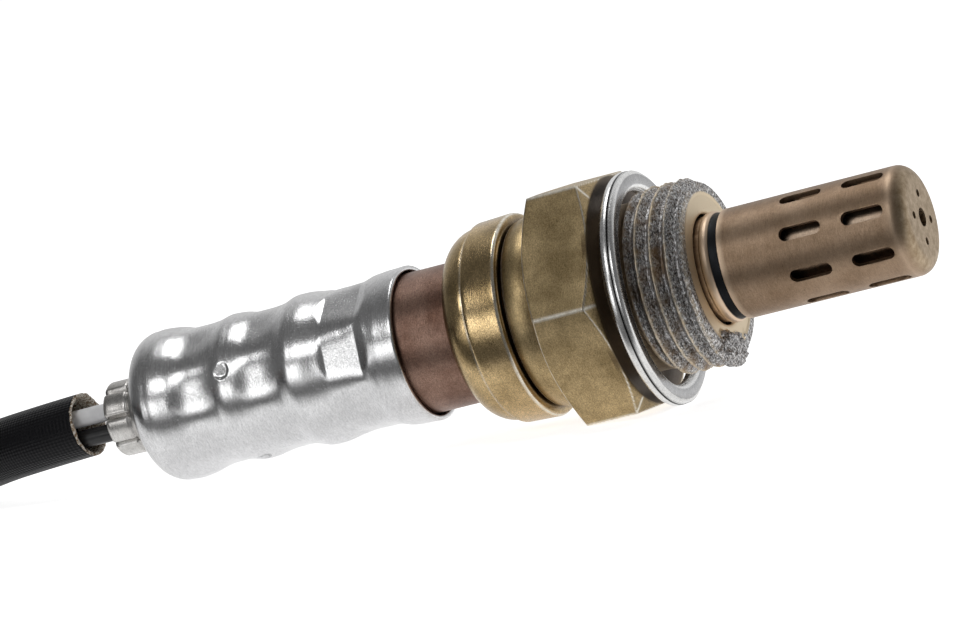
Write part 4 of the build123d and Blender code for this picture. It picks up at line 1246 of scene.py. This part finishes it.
class OXYGEN_OT_thread(bpy.types.Operator):
    """Cut the thread and smear its paste"""
    bl_idname = "oxygen.thread"
    bl_label = "Thread"

    def execute(self, context):
        build_thread(context.scene.sensor_sizes)
        return {"FINISHED"}


class OXYGEN_OT_gasket(bpy.types.Operator):
    """Fold the loose gasket"""
    bl_idname = "oxygen.gasket"
    bl_label = "Gasket"

    def execute(self, context):
        build_gasket(context.scene.sensor_sizes, context.scene.sensor_colours)
        return {"FINISHED"}


class OXYGEN_OT_tip(bpy.types.Operator):
    """Draw the protection tube and cut its slots and holes"""
    bl_idname = "oxygen.tip"
    bl_label = "Tip"

    def execute(self, context):
        build_tip(context.scene.sensor_sizes, context.scene.sensor_colours)
        return {"FINISHED"}


class OXYGEN_OT_rear_sleeve(bpy.types.Operator):
    """Draw the brown tube behind the shell"""
    bl_idname = "oxygen.rear_sleeve"
    bl_label = "Rear tube"

    def execute(self, context):
        build_rear_sleeve(context.scene.sensor_colours)
        return {"FINISHED"}


class OXYGEN_OT_cover(bpy.types.Operator):
    """Draw the silver cover and close the crimping jaws on it"""
    bl_idname = "oxygen.cover"
    bl_label = "Cover"

    def execute(self, context):
        build_cover(context.scene.sensor_sizes, context.scene.sensor_colours)
        return {"FINISHED"}


class OXYGEN_OT_ferrule(bpy.types.Operator):
    """Crimp the lobed ferrule round the wires"""
    bl_idname = "oxygen.ferrule"
    bl_label = "Ferrule"

    def execute(self, context):
        build_ferrule(context.scene.sensor_colours)
        return {"FINISHED"}


class OXYGEN_OT_wires(bpy.types.Operator):
    """Run the four wires into the sleeve's mouth"""
    bl_idname = "oxygen.wires"
    bl_label = "Wires"

    def execute(self, context):
        build_wires(context.scene.sensor_sizes, context.scene.sensor_colours)
        return {"FINISHED"}


class OXYGEN_OT_lining(bpy.types.Operator):
    """Fray the lining round the sleeve's mouth"""
    bl_idname = "oxygen.lining"
    bl_label = "Mouth lining"

    def execute(self, context):
        build_lining(context.scene.sensor_colours)
        return {"FINISHED"}


class OXYGEN_OT_carried(bpy.types.Operator):
    """Give the connector and the inner pieces their finishes"""
    bl_idname = "oxygen.carried"
    bl_label = "Connector and inner pieces"

    def execute(self, context):
        dress_nodes(context.scene.sensor_colours)
        return {"FINISHED"}


OPERATORS = [
    OXYGEN_OT_stage, OXYGEN_OT_harness, OXYGEN_OT_shell, OXYGEN_OT_thread, OXYGEN_OT_gasket, OXYGEN_OT_tip,
    OXYGEN_OT_rear_sleeve, OXYGEN_OT_cover, OXYGEN_OT_ferrule, OXYGEN_OT_wires, OXYGEN_OT_lining,
    OXYGEN_OT_carried,
]
SETTINGS = {"sensor_sizes": SensorSizes, "sensor_colours": SensorColours, "stage_lights": StageLights}


class OXYGEN_PT_sensor(bpy.types.Panel):
    """Sidebar page with every piece and setting"""
    bl_label = "Oxygen sensor"
    bl_space_type = "VIEW_3D"
    bl_region_type = "UI"
    bl_category = "Oxygen sensor"

    def draw(self, context):
        """Lists the operators in their order, then the settings."""
        for made in OPERATORS:
            self.layout.operator(made.bl_idname)
        for place, group in SETTINGS.items():
            for setting in group.__annotations__:
                self.layout.prop(getattr(context.scene, place), setting)


CLASSES = [*SETTINGS.values(), *OPERATORS, OXYGEN_PT_sensor]


def register():
    """Makes the classes known and puts the settings on the scene."""
    for made in CLASSES:
        bpy.utils.register_class(made)
    for place, group in SETTINGS.items():
        setattr(bpy.types.Scene, place, PointerProperty(type=group))


def unregister():
    """Takes the settings and the classes away again."""
    for place in SETTINGS:
        delattr(bpy.types.Scene, place)
    for made in reversed(CLASSES):
        bpy.utils.unregister_class(made)


def main():
    """Builds the stage and every piece."""
    register()
    bpy.ops.oxygen.stage()
    bpy.ops.oxygen.harness()
    bpy.ops.oxygen.shell()
    bpy.ops.oxygen.thread()
    bpy.ops.oxygen.gasket()
    bpy.ops.oxygen.tip()
    bpy.ops.oxygen.rear_sleeve()
    bpy.ops.oxygen.cover()
    bpy.ops.oxygen.ferrule()
    bpy.ops.oxygen.wires()
    bpy.ops.oxygen.lining()
    bpy.ops.oxygen.carried()


if __name__ == "__main__":
    main()
